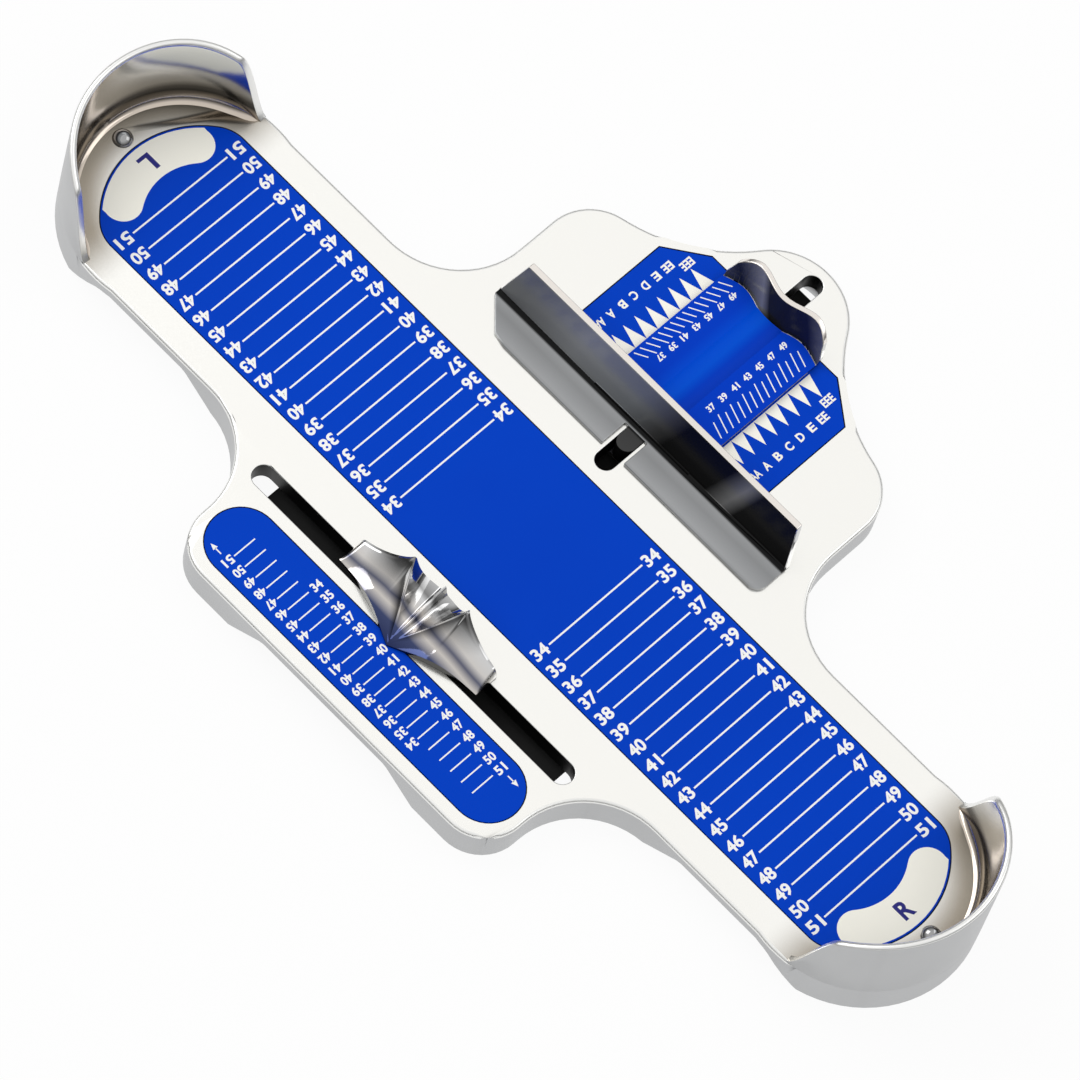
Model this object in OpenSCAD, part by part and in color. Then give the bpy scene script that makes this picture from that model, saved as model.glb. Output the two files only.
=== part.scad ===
// Foot measuring device: a cast deck with a heel cup at each end, a length
// scale down the middle, a width bar that slides across the foot and an arch
// pointer that slides along it. X runs along the foot, Y towards the width
// bar and Z up from the table. The origin is under the middle of the casting.

/* [Casting] */
// Height of the deck's top face above the table
deck_top = 12.7; // [11:0.1:16]
// Thickness of the deck
deck_t = 4.2; // [3.5:0.1:5]
// Width of the straight arms that carry the length scale
arm_w = 74.4; // [72:0.1:76]
// Thickness of the skirt under the deck's edge
skirt_t = 3; // [2:0.5:4]
// Half length of the two side wings
wing_x = 66; // [62:1:70]
// Distance from the scale's centre line to the arch wing's edge
arch_wing_y = 80.3; // [78:0.1:84]
// Distance from the scale's centre line to the width wing's shoulder
shoulder_y = 95.8; // [94:0.1:98]
// Distance from the scale's centre line to the tip of the width wing
crown_y = 129.5; // [127:0.1:132]
// Radius of the hollow corners between arms and wings
hollow_r = 27; // [22:1:28]

/* [Heel cups] */
// Distance from the middle of the device to each cup's centre
cup_x = 141.6; // [138:0.1:146]
// Outer radius of a cup from the table up to the deck
cup_r = 37.8; // [37.3:0.1:38.5]
// Outer radius of a cup at its rim
rim_r = 37.6; // [36:0.1:38.5]
// Height of the rim above the deck
rim_h = 33; // [28:0.5:36]
// Thickness of the cup's wall at the rim
rim_t = 2.3; // [2:0.1:3]
// Diameter of the domed stud at the back of each cup
stud_d = 6.5; // [5:0.5:8]

/* [Scale plates] */
// Thickness of the printed plates
plate_t = 0.8; // [0.6:0.1:1]
// Width of the length plate
length_plate_w = 53.9; // [50:0.1:55]
// Distance from the middle to each end of the length plate
length_plate_x = 164.4; // [160:0.1:166]
// Radius of the length plate's round ends
length_plate_r = 31.5; // [29:0.1:33]
// Distance from the scale's centre line to the arch plate's
arch_plate_y = 64.2; // [63.5:0.1:65]
// Half width of the arch plate, and the radius of its ends
arch_plate_r = 11.2; // [9.5:0.1:11.5]
// Half distance between the centres of the arch plate's ends
arch_plate_x = 50.9; // [48:0.1:52]

/* [Slots and travel] */
// Distance from the scale's centre line to the arch slot's
arch_slot_y = 44.7; // [44:0.1:45.5]
// Width of the arch slot
arch_slot_w = 7.6; // [6.4:0.1:8]
// Half length of the arch slot
arch_slot_x = 65.8; // [60:0.1:67]
// Width of the slot that guides the width bar
width_slot_w = 6.6; // [6:0.1:8]
// Inner end of the width slot, from the scale's centre line
width_slot_in = 31.8; // [30:0.1:33]
// Outer end of the width slot, from the scale's centre line
width_slot_out = 125.7; // [124:0.1:126.2]
// Travel of the width bar towards the scale
width_in = 8; // [2:1:8]
// Travel of the width bar away from the scale
width_out = 40; // [20:1:40]
// Travel of the arch pointer to each side
arch_travel = 49; // [30:1:49]

/* [Width bar] */
// Half length of the bar
bar_x = 60.1; // [55:0.1:64]
// Inner edge of the bar's foot, from the scale's centre line
bar_y = 37.8; // [37:0.1:40]
// Width of the bar's foot
bar_foot_w = 11.8; // [10:0.1:13]
// Height of the bar's wall above its foot
bar_h = 13; // [12:0.5:16]
// Outward lean of the wall over its height
bar_lean = 6.1; // [4:0.1:8]
// Thickness of the wall
bar_t = 2.3; // [1.8:0.1:3]
// Half width of the sliding carriage
carriage_x = 19.6; // [18:0.1:20]
// Outer edge of the carriage, from the scale's centre line
carriage_y = 104.5; // [102:0.5:107]
// Height of the finger grip above the deck
grip_h = 12; // [9:0.5:14]

/* [Arch pointer] */
// Half length of the pointer
pointer_x = 28.4; // [26:0.1:30]
// Position of the pointer's tip, from the scale's centre line
pointer_tip_y = 55.4; // [54:0.1:56]
// Height of its two horns above the deck
horn_h = 14; // [11:0.5:17]
// Half distance between the horns
horn_x = 11.2; // [9:0.1:13]
// Height of the thin rib between the horns
rib_h = 8.5; // [6:0.5:10]

/* [Slide fittings] */
// Gap between sliding faces
slide_gap = 0.1; // [0.05:0.01:0.2]
// Radius of the fixing screws' shanks
screw_r = 1.45; // [1.2:0.05:1.6]
// Clearance of a screw in its hole
screw_gap = 0.05; // [0.02:0.01:0.1]
// Radius of the screw heads
head_r = 2.9; // [2.5:0.1:3.2]
// Thickness of the retainer plates under the slots
retainer_t = 1.4; // [1:0.1:1.6]

/* [Hidden] */
$fn = 96;
eps = 0.01;
deck_low = deck_top - deck_t;
// the scale's centre line in the frame whose Y origin is mid-casting
strip_y = (arch_wing_y - crown_y) / 2;
// corners of the two wings
arch_corner_r = 14.4;
width_corner_r = 17;
// the round crown of the width wing and the hollow beside it
crown_r = 22.1;
crown_c = crown_y - crown_r;
ogee_r = 56.2;
arc_steps = 16;
corner_c = [wing_x - width_corner_r, shoulder_y - width_corner_r];
// centre of the hollow circle that touches both the crown and the corner
span = corner_c - [0, crown_c];
span_d = norm(span);
to_crown = crown_r + ogee_r;
to_corner = width_corner_r + ogee_r;
along_span = (span_d * span_d + to_crown * to_crown - to_corner * to_corner) / (2 * span_d);
off_span = sqrt(to_crown * to_crown - along_span * along_span);
ogee_c = [0, crown_c] + (along_span * span + off_span * [-span[1], span[0]]) / span_d;
// arches under the skirt: the height left open and their sloping ends
arch_open = deck_top - 3.7;
arm_arch_mid = 121.5;
arm_arch_half = 15.5;
arm_arch_slope = 17;
wing_arch_half = 23;
wing_arch_slope = 17;
// slot bosses
boss_t = 3;
boss_low = 5.2;
// the rim's steep rise, behind the cup's centre, and how high it goes
rise_from = 5;
rise_to = 15.5;
rise_h = 20;
rise_steps = 12;
// the rim's slow rise from there to the back
crest_steps = 8;
cup_floor_r = 32;
cup_side_r = 35;
cup_fillet_h = 6;
// pockets for the plates
pocket_gap = 0.4;
// rounding between the length plate's sides and its round ends
plate_corner_r = 12;
// share of the gap that the width plate's slanted corners are drawn out by
slant_share = 0.6;
width_plate_in = 57.5;
width_plate_pts = [[38.9, 96.5], [26.2, 106.2]];
stud_x = 169;
stud_h = 2.4;
// carriage and plate on the width bar
foot_t = 1;
carriage_t = 1.4;
slide_z = deck_top + slide_gap;
carriage_top = slide_z + carriage_t;
carriage_in = bar_y + bar_foot_w;
slide_plate_t = 0.6;
slide_rib_r = 9;
slide_rib_h = 1.6;
slide_rib_w = 2 * sqrt(pow(slide_rib_r, 2) - pow(slide_rib_r - slide_rib_h, 2));
slide_plate_in = carriage_in + bar_lean + 2;
// how far the plate stops short of the carriage's wavy edge
slide_plate_back = 0.6;
wave = 1.4;
wave_half = 12;
wave_steps = 24;
grip_t = 1.8;
grip_end_h = 3;
grip_lean = 3.5;
// how deep the grip is rooted in the carriage
grip_root = 0.5;
notch_w = width_slot_w + 2.4;
// guides, springs, retainers and screws, listed from the boss down
spring_zone = 1.6;
retainer_top = boss_low - spring_zone;
retainer_low = retainer_top - retainer_t;
washer_t = 0.5;
washer_r = 2.6;
head_h = 1.3;
head_low = retainer_low - washer_t - head_h;
spring_t = 0.4;
// gap between a spring's crown and the boss it bears on
spring_gap = 0.08;
guide_side_gap = 0.1;
// room left at a slot's end when a slide is at its stop
end_room = 1;
// width of the retainers and springs, and how far they reach past a guide's end
retainer_w = 13;
arch_retainer_over = 1;
// less than nothing here, as the wing's skirt is close to the slot's outer end
width_retainer_over = -1;
// how far a guide block's narrow lower part stops short of its ends
neck_in = 5;
width_guide_in = width_slot_in + width_in + end_room;
width_guide_out = width_slot_out - width_out - end_room;
width_screw_y = [53, 71];
arch_guide_x = arch_slot_x - arch_travel - end_room;
arch_screw_x = [-8, 8];
// metal left over the blind bores in the carriage, and the room above a screw
screw_cover = 0.3;
screw_end_gap = 0.1;
// how far the pointer's screws reach into it, and the depth of their bores
pointer_screw = 1.5;
pointer_bore = 2;
// clearance round a guide block's lower part in a spring's window
window_gap = 0.2;
window_end_gap = 0.3;
// the cross recess in a screw's head
recess_l = 3.2;
recess_w = 0.7;
recess_h = 0.8;
// the pointer's shoe, its horns and the hollow between them
shoe_in = 38.4;
shoe_out = 46.9;
shoe_h = 2.5;
horn_y = 34.6;
// how much nearer to the foot the back edge runs in the middle than at the horns
back_bow = 2;
// height of the hollow's floor at the back, and half the width of the rib in it
hollow_h = 4;
rib_half = 1.1;
// width of the flat land along the back edge outside the horns
land = 0.8;
pointer_low = 0.6;
// rows from the back edge to a ridge, and from there to the front edge
back_rows = 3;
front_rows = 6;
// sections, by distance from the middle: across the rib, to a horn and to the end
rib_stations = [0.5, 1.1, 1.8];
horn_steps = 7;
side_steps = 12;

// ---------- frame ----------

// moves a shape drawn about the length scale's centre line to the part's frame
module placed() {
  translate([0, strip_y, 0]) children();
}

module both_ends() {
  children();
  mirror([1, 0, 0]) children();
}

// ---------- the casting's outline ----------

// a wing of half width w from y0 to y1, with its two outer corners rounded
module wing(w, y0, y1, r) {
  translate([-w, y0]) square([2 * w, y1 - r - y0]);
  translate([-w + r, y0]) square([2 * (w - r), y1 - y0]);
  for (s = [-1, 1]) translate([s * (w - r), y1 - r]) circle(r);
}

// the filler of a hollow corner whose circle touches x = w and y = h
module hollow_corner(w, h, r) {
  difference() {
    translate([w - eps, h - eps]) square([r + eps, r + eps]);
    translate([w + r, h + r]) circle(r);
  }
}

function arc(c, r, a0, a1, n) = [
  for (i = [0 : n]) let (a = a0 + (a1 - a0) * i / n) c + r * [cos(a), sin(a)]
];

// all points of a list but the first
function tail(p) = [for (i = [1 : len(p) - 1]) p[i]];

// the width wing: on each side a round corner, a hollow curve and half the crown
module width_wing(inset) {
  to_b = ogee_c - corner_c;
  to_a = ogee_c - [0, crown_c];
  b = atan2(to_b[1], to_b[0]);
  a = atan2(to_a[1], to_a[0]);
  half = concat(
    [[wing_x - inset, 0]],
    arc(corner_c, width_corner_r - inset, 0, b, arc_steps),
    tail(arc(ogee_c, ogee_r + inset, b + 180, a + 180, arc_steps)),
    tail(arc([0, crown_c], crown_r - inset, a, 90, arc_steps))
  );
  n = len(half);
  polygon(concat(half, [for (i = [n - 2 : -1 : 0]) [-half[i][0], half[i][1]]]));
}

// the whole outline, drawn in by inset all round
module outline(inset = 0) {
  a = arm_w / 2 - inset;
  w = wing_x - inset;
  h = hollow_r + inset;
  translate([-cup_x, -a]) square([2 * cup_x, 2 * a]);
  for (s = [-1, 1]) translate([s * cup_x, 0]) circle(cup_r - inset);
  mirror([0, 1]) wing(w, 0, arch_wing_y - inset, arch_corner_r - inset);
  width_wing(inset);
  for (sx = [0, 1]) {
    for (sy = [0, 1]) {
      mirror([sx, 0]) mirror([0, sy]) hollow_corner(w, a, h);
    }
  }
}

// a round-ended slot of width w between two centres, along X or along Y
module slot_shape(a, b, w) {
  run = b - a;
  for (p = [a, b]) translate(p) circle(w / 2);
  if (run[0] > 0) translate([a[0], a[1] - w / 2]) square([run[0], w]);
  if (run[0] == 0) translate([a[0] - w / 2, a[1]]) square([w, run[1]]);
}

module arch_slot(extra = 0) {
  e = arch_slot_x - arch_slot_w / 2;
  slot_shape([-e, -arch_slot_y], [e, -arch_slot_y], arch_slot_w + 2 * extra);
}

module width_slot(extra = 0) {
  r = width_slot_w / 2;
  slot_shape([0, width_slot_in + r], [0, width_slot_out - r], width_slot_w + 2 * extra);
}

// ---------- plate shapes ----------

// a strip with round ends that are wider than it, blended by smaller arcs
module length_plate_shape(extra = 0) {
  w = length_plate_w / 2 + extra;
  end_r = length_plate_r + extra;
  blend_r = plate_corner_r + extra;
  end_c = [length_plate_x - length_plate_r, 0];
  up = w - blend_r;
  along = sqrt(pow(end_r - blend_r, 2) - up * up);
  turn = atan2(up, along);
  quarter = concat(
    arc(end_c, end_r, 0, turn, arc_steps),
    tail(arc(end_c + [along, up], blend_r, turn, 90, arc_steps))
  );
  n = len(quarter);
  half = concat([for (i = [n - 1 : -1 : 1]) [quarter[i][0], -quarter[i][1]]], quarter);
  polygon(concat(half, [for (i = [2 * n - 2 : -1 : 0]) [-half[i][0], half[i][1]]]));
}

module arch_plate_shape(extra = 0) {
  slot_shape([-arch_plate_x, -arch_plate_y], [arch_plate_x, -arch_plate_y], 2 * (arch_plate_r + extra));
}

module width_plate_shape(extra = 0) {
  p = width_plate_pts;
  x0 = p[0][0] + extra;
  x1 = p[1][0] + extra * slant_share;
  y0 = width_plate_in - extra;
  y1 = p[0][1] + extra * slant_share;
  y2 = p[1][1] + extra;
  polygon([[-x0, y0], [x0, y0], [x0, y1], [x1, y2], [-x1, y2], [-x0, y1]]);
}

// ---------- base casting ----------

// height of the cup's rim above the deck, at x behind the cup's centre: a steep
// rise from the arm and a slow one towards the back
function rim_z(x) =
  let (t = min(1, max(0, (x - rise_from) / (rise_to - rise_from))))
  let (u = min(1, max(0, (rim_r - x) / (rim_r - rise_from))))
  rise_h * t * t * (3 - 2 * t) + (rim_h - rise_h) * (1 - u * u);

// half section of a cup: it starts inside the deck, its hollow is rounded into
// the floor, and it is taller than the rim, which is cut to a curve
module cup_section() {
  top = deck_top + rim_h + 2;
  low = deck_top - 1;
  polygon(concat(
    [[cup_floor_r - 1, low], [cup_r, low], [cup_r, deck_top], [rim_r, top], [rim_r - rim_t, top]],
    [for (a = [90 : -15 : 0]) [
      cup_floor_r + (cup_side_r - cup_floor_r) * sin(a),
      deck_top + cup_fillet_h * (1 - cos(a))
    ]],
    [[cup_floor_r - 1, deck_top]]
  ));
}

// a cup's wall, cut to the rim's curve
module cup_wall() {
  x_end = 60;
  crest = rim_r - rise_to;
  rise = concat(
    [for (i = [0 : rise_steps]) rise_from + (rise_to - rise_from) * i / rise_steps],
    [for (i = [1 : crest_steps]) rise_to + crest * i / crest_steps]
  );
  translate([cup_x, 0, 0]) intersection() {
    rotate_extrude() cup_section();
    translate([0, x_end, 0]) rotate([90, 0, 0]) linear_extrude(2 * x_end)
      polygon(concat(
        [[0, 0], [x_end, 0], [x_end, deck_top + rim_h]],
        [for (i = [len(rise) - 1 : -1 : 0]) [rise[i], deck_top + rim_z(rise[i])]],
        [[0, deck_top]]
      ));
  }
}

// an arch cut through a skirt that runs along X, centred on the origin: its ends
// slope out by slope on the way down
module skirt_arch(half, slope, depth) {
  rotate([90, 0, 0]) translate([0, 0, -depth / 2]) linear_extrude(depth)
    polygon([
      [-half - slope, -1], [half + slope, -1],
      [half + slope * 0.8, arch_open * 0.12], [half + slope * 0.2, arch_open * 0.88],
      [half, arch_open], [-half, arch_open],
      [-half - slope * 0.2, arch_open * 0.88], [-half - slope * 0.8, arch_open * 0.12]
    ]);
}

module base_casting() {
  color("gainsboro") placed() {
    difference() {
      union() {
        translate([0, 0, deck_low]) linear_extrude(deck_t) outline();
        difference() {
          linear_extrude(deck_low) outline();
          translate([0, 0, -eps]) linear_extrude(deck_low + 2 * eps) outline(skirt_t);
          for (s = [-1, 1]) translate([s * arm_arch_mid, 0, 0])
            skirt_arch(arm_arch_half, arm_arch_slope, arm_w + 20);
          translate([0, -arch_wing_y, 0]) skirt_arch(wing_arch_half, wing_arch_slope, 4 * skirt_t);
        }
        translate([0, 0, boss_low]) linear_extrude(deck_low - boss_low + eps) arch_slot(boss_t);
        translate([0, 0, boss_low]) linear_extrude(deck_low - boss_low + eps) width_slot(boss_t);
      }
      translate([0, 0, deck_top - plate_t]) linear_extrude(plate_t + 1) {
        length_plate_shape(pocket_gap);
        arch_plate_shape(pocket_gap);
        width_plate_shape(pocket_gap);
      }
      translate([0, 0, -1]) linear_extrude(deck_top + 2) {
        arch_slot();
        width_slot();
      }
      both_ends() translate([stud_x, 0, deck_low - 1]) cylinder(r = screw_r + screw_gap, h = deck_t + 2);
    }
    both_ends() cup_wall();
  }
}

// ---------- printed plates ----------

module length_plate() {
  color("mediumblue") placed() translate([0, 0, deck_top - plate_t])
    linear_extrude(plate_t) length_plate_shape();
}

module arch_plate() {
  color("mediumblue") placed() translate([0, 0, deck_top - plate_t])
    linear_extrude(plate_t) arch_plate_shape();
}

// the width slot parts the width plate in two, so each side is a plate of its own
module half_width_plate() {
  color("mediumblue") placed() translate([0, 0, deck_top - plate_t])
    linear_extrude(plate_t) difference() {
      width_plate_shape();
      width_slot(pocket_gap);
      translate([-wing_x, 0]) square([wing_x, crown_y]);
    }
}

module width_plate_right() {
  half_width_plate();
}

module width_plate_left() {
  mirror([1, 0, 0]) half_width_plate();
}

// a domed stud riveted through the floor at the back of each cup
module heel_studs() {
  dome_r = (pow(stud_d / 2, 2) + pow(stud_h, 2)) / (2 * stud_h);
  color("silver") placed() both_ends() translate([stud_x, 0, deck_top]) {
    intersection() {
      translate([0, 0, stud_h - dome_r]) sphere(dome_r);
      cylinder(d = stud_d, h = stud_h + 1);
    }
    translate([0, 0, -deck_t]) cylinder(r = screw_r, h = deck_t);
  }
}

// ---------- width slide ----------

// the carriage's wavy outer edge at x
function wave_y(x) = carriage_y - wave * cos(180 * x / wave_half);

// height of the finger grip at x: full over the lobes, low at the ends
function grip_z(x) =
  let (t = min(1, max(0, (abs(x) - 10) / (carriage_x - 10))))
  grip_end_h + (grip_h - grip_end_h) * sqrt(1 - t * t);

function wave_x(i) = -carriage_x + 2 * carriage_x * i / wave_steps;

module carriage_shape(y0) {
  polygon(concat(
    [[-carriage_x, y0]],
    [for (i = [0 : wave_steps]) [wave_x(i), wave_y(wave_x(i))]],
    [[carriage_x, y0]]
  ));
}

// a closed skin over sections that each hold n points
module loft(sections) {
  n = len(sections[0]);
  m = len(sections);
  pts = [for (s = sections) each s];
  sides = [
    for (i = [0 : m - 2]) for (j = [0 : n - 1])
      let (a = i * n + j, b = i * n + (j + 1) % n)
      each [[a, b + n, b], [a, a + n, b + n]]
  ];
  ends = [[for (j = [0 : n - 1]) j], [for (j = [n - 1 : -1 : 0]) (m - 1) * n + j]];
  polyhedron(points = pts, faces = concat(sides, ends), convexity = 6);
}

module finger_grip() {
  z0 = slide_z;
  loft([
    for (i = [0 : wave_steps])
      let (x = wave_x(i), y = wave_y(x), h = grip_z(x), lean = grip_lean * h / grip_h)
      [[x, y - grip_root, z0], [x, y + grip_t, z0],
       [x, y + lean + grip_t, z0 + h], [x, y + lean, z0 + h]]
  ]);
}

// the bar's foot: a square corner at one end and a cut corner at the other
module bar_foot_shape() {
  r = 4;
  cut = 9.3;
  step = 1;
  y1 = bar_y + bar_foot_w + 0.5;
  difference() {
    union() {
      polygon([
        [-bar_x, y1], [-bar_x, bar_y + cut + step], [-bar_x + cut, bar_y + step],
        [-bar_x + cut + 5, bar_y], [bar_x - r, bar_y], [bar_x, bar_y + r], [bar_x, y1]
      ]);
      translate([bar_x - r, bar_y + r]) circle(r);
    }
    translate([-notch_w / 2, bar_y - 1]) square([notch_w, bar_foot_w - 1]);
  }
}

// the bar's wall: leans away from the foot, and its ends slope in
module bar_wall() {
  end_in = 4;
  z0 = slide_z;
  z1 = slide_z + foot_t + bar_h;
  y0 = bar_y + bar_foot_w;
  y1 = y0 + bar_lean;
  rise = [[z0, y0, bar_x], [z1, y1, bar_x - end_in]];
  loft([
    for (s = rise)
      [[-s[2], s[1], s[0]], [s[2], s[1], s[0]],
       [s[2], s[1] + bar_t, s[0]], [-s[2], s[1] + bar_t, s[0]]]
  ]);
}

module width_bar() {
  color("silver") placed() difference() {
    union() {
      translate([0, 0, slide_z]) linear_extrude(foot_t) bar_foot_shape();
      bar_wall();
      translate([0, 0, slide_z]) linear_extrude(carriage_t) carriage_shape(carriage_in);
      finger_grip();
    }
    for (y = width_screw_y) translate([0, y, slide_z - 1])
      cylinder(r = screw_r + screw_gap, h = carriage_t - screw_cover + 1);
  }
}

// the plate's cross-section: flat with a raised rib along the middle
module slide_plate_section() {
  r = slide_rib_r;
  w = slide_rib_w / 2;
  t = slide_plate_t;
  difference() {
    union() {
      translate([-carriage_x, 0]) square([2 * carriage_x, t]);
      intersection() {
        translate([0, slide_rib_h - r]) circle(r + t);
        translate([-w - t, 0]) square([2 * (w + t), slide_rib_h + t]);
      }
    }
    intersection() {
      translate([0, slide_rib_h - r]) circle(r);
      translate([-w, -eps]) square([2 * w, slide_rib_h + eps]);
    }
  }
}

module slide_plate() {
  depth = carriage_y + 5 - slide_plate_in;
  color("royalblue") placed() intersection() {
    translate([0, slide_plate_in + depth, carriage_top]) rotate([90, 0, 0])
      linear_extrude(depth) slide_plate_section();
    translate([0, -slide_plate_back, carriage_top - 1]) linear_extrude(6) carriage_shape(slide_plate_in);
  }
}

// ---------- fittings under the slots, drawn along X about a slot's centre ----------

module screw_holes(xs, z0, z1) {
  for (x = xs) translate([x, 0, z0]) cylinder(r = screw_r + screw_gap, h = z1 - z0);
}

// the round-ended block that runs in a slot, with a shorter part below the boss
module guide(x0, x1, w, xs) {
  b = w - 2 * guide_side_gap;
  difference() {
    union() {
      translate([0, 0, boss_low]) linear_extrude(slide_z - boss_low)
        slot_shape([x0 + b / 2, 0], [x1 - b / 2, 0], b);
      translate([x0 + neck_in, -b / 2, retainer_top])
        cube([x1 - x0 - 2 * neck_in, b, boss_low - retainer_top + eps]);
    }
    screw_holes(xs, retainer_top - 1, slide_z + 1);
  }
}

// a bowed leaf spring with a window for the guide block's lower part
module leaf_spring(xm, half, wide, w, win_half) {
  rise = spring_zone - spring_t - spring_gap;
  r = (half * half + rise * rise) / (2 * rise);
  difference() {
    intersection() {
      translate([xm, wide / 2, boss_low - spring_gap - spring_t - r]) rotate([90, 0, 0])
        difference() {
          cylinder(r = r + spring_t, h = wide, $fn = 720);
          translate([0, 0, -1]) cylinder(r = r, h = wide + 2, $fn = 720);
        }
      translate([xm - half, -wide / 2, retainer_top]) cube([2 * half, wide, spring_zone]);
    }
    translate([xm - win_half, -w / 2, retainer_top - 1]) cube([2 * win_half, w, spring_zone + 2]);
  }
}

module retainer(x0, x1, wide, xs) {
  r = 3;
  difference() {
    translate([0, 0, retainer_low]) linear_extrude(retainer_t) {
      translate([x0 + r, -wide / 2]) square([x1 - x0 - 2 * r, wide]);
      translate([x0, -wide / 2 + r]) square([x1 - x0, wide - 2 * r]);
      for (x = [x0 + r, x1 - r]) {
        for (s = [-1, 1]) translate([x, s * (wide / 2 - r)]) circle(r);
      }
    }
    screw_holes(xs, retainer_low - 1, retainer_top + 1);
  }
}

module washers(xs) {
  for (x = xs) translate([x, 0, retainer_low - washer_t]) difference() {
    cylinder(r = washer_r, h = washer_t);
    translate([0, 0, -1]) cylinder(r = screw_r + screw_gap, h = washer_t + 2);
  }
}

// pan-head screws that reach up to height z1, with a cross recess
module screws(xs, z1) {
  for (x = xs) translate([x, 0, head_low]) difference() {
    union() {
      cylinder(r = head_r, h = head_h);
      cylinder(r = screw_r, h = z1 - head_low);
    }
    for (a = [0, 90]) rotate([0, 0, a]) translate([-recess_l / 2, -recess_w / 2, -eps])
      cube([recess_l, recess_w, recess_h]);
  }
}

// turns fittings drawn along X so that they run along Y in the width slot
module along_width() {
  placed() multmatrix([[0, 1, 0, 0], [1, 0, 0, 0], [0, 0, 1, 0], [0, 0, 0, 1]]) children();
}

module along_arch() {
  placed() translate([0, -arch_slot_y, 0]) children();
}

module width_guide() {
  color("dimgray") along_width()
    guide(width_guide_in, width_guide_out, width_slot_w, width_screw_y);
}

module width_spring() {
  mid = (width_guide_in + width_guide_out) / 2;
  half = (width_guide_out - width_guide_in) / 2;
  color("slategray") along_width() leaf_spring(
    mid, half + width_retainer_over, retainer_w, width_slot_w + 2 * window_gap,
    half - neck_in + window_end_gap
  );
}

module width_retainer() {
  o = width_retainer_over;
  color("darkgray") along_width()
    retainer(width_guide_in - o, width_guide_out + o, retainer_w, width_screw_y);
}

module width_washers() {
  color("gray") along_width() washers(width_screw_y);
}

module width_screws() {
  color("gray") along_width() screws(width_screw_y, carriage_top - screw_cover - screw_end_gap);
}

// ---------- arch pointer ----------

// how far x is from a horn towards the middle, from 0 at the horn to 1
function inward(x) = max(0, 1 - abs(x) / horn_x);

// how far x is from the pointer's end towards a horn, from 0 at the end to 1
function upward(x) = min(1, max(0, (pointer_x - abs(x)) / (pointer_x - horn_x)));

// height of the back edge: a rib in a hollow between the horns, slopes outside
function back_z(x) =
  let (u = 1 - inward(x))
  inward(x) > 0
    ? hollow_h + (horn_h - hollow_h) * pow(u, 4) + (rib_h - hollow_h) * exp(-pow(x / rib_half, 2))
    : shoe_h + (horn_h - shoe_h) * pow(upward(x), 1.7);

// where the back edge runs
function back_y(x) =
  let (u = 1 - inward(x))
  inward(x) > 0
    ? horn_y - back_bow * (1 - u * u)
    : horn_y + (shoe_in - horn_y) * sqrt(1 - upward(x));

// the ridge that runs from each horn to the tip, and its height; outside the
// horns it is the edge of the land
function ridge_y(x) = inward(x) > 0
  ? max(horn_y + (pointer_tip_y - land - horn_y) * inward(x), back_y(x) + land)
  : back_y(x) + land;
function ridge_z(x) = inward(x) > 0
  ? pointer_low + 0.2 + (horn_h - pointer_low - 0.2) * pow(1 - inward(x), 1.3)
  : back_z(x);

// the front edge, drawn out to a tip in the middle
function front_y(x) =
  shoe_out + (pointer_tip_y - shoe_out) * pow(1 - abs(x) / pointer_x, 1.6);

// one section of the pointer, from the back edge over the ridge to the front
function pointer_section(x) =
  let (yb = back_y(x), yr = ridge_y(x), yf = front_y(x), zb = back_z(x), zr = ridge_z(x))
  concat(
    [[x, -yb, slide_z]],
    [for (i = [0 : back_rows])
      let (t = i / back_rows)
      [x, -yb - (yr - yb) * t, slide_z + zb + (zr - zb) * t]],
    [for (i = [1 : front_rows])
      let (t = i / front_rows)
      [x, -yr - (yf - yr) * t, slide_z + pointer_low + (zr - pointer_low) * pow(1 - t, 1.8)]],
    [[x, -yf, slide_z]]
  );

half_stations = concat(
  rib_stations,
  [for (i = [2 : horn_steps]) horn_x * i / horn_steps],
  [for (i = [1 : side_steps]) horn_x + (pointer_x - horn_x) * i / side_steps]
);
half_count = len(half_stations);
pointer_stations = concat([for (i = [half_count - 1 : -1 : 0]) -half_stations[i]], [0], half_stations);

module arch_pointer() {
  color("silver") placed() difference() {
    loft([for (x = pointer_stations) pointer_section(x)]);
    for (x = arch_screw_x) translate([x, -arch_slot_y, slide_z - eps])
      cylinder(r = screw_r + screw_gap, h = pointer_bore);
  }
}

module arch_guide() {
  color("dimgray") along_arch() guide(-arch_guide_x, arch_guide_x, arch_slot_w, arch_screw_x);
}

module arch_spring() {
  color("slategray") along_arch() leaf_spring(
    0, arch_guide_x + arch_retainer_over, retainer_w, arch_slot_w + 2 * window_gap,
    arch_guide_x - neck_in + window_end_gap
  );
}

module arch_retainer() {
  h = arch_guide_x + arch_retainer_over;
  color("darkgray") along_arch() retainer(-h, h, retainer_w, arch_screw_x);
}

module arch_washers() {
  color("gray") along_arch() washers(arch_screw_x);
}

module arch_screws() {
  color("gray") along_arch() screws(arch_screw_x, slide_z + pointer_screw);
}

base_casting();
length_plate();
arch_plate();
width_plate_left();
width_plate_right();
heel_studs();
width_bar();
slide_plate();
width_guide();
width_spring();
width_retainer();
width_washers();
width_screws();
arch_pointer();
arch_guide();
arch_spring();
arch_retainer();
arch_washers();
arch_screws();
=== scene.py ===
import logging
import math
from dataclasses import dataclass
from enum import Enum
from typing import Callable

import bmesh
import bpy
from mathutils import Matrix, Vector


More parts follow.
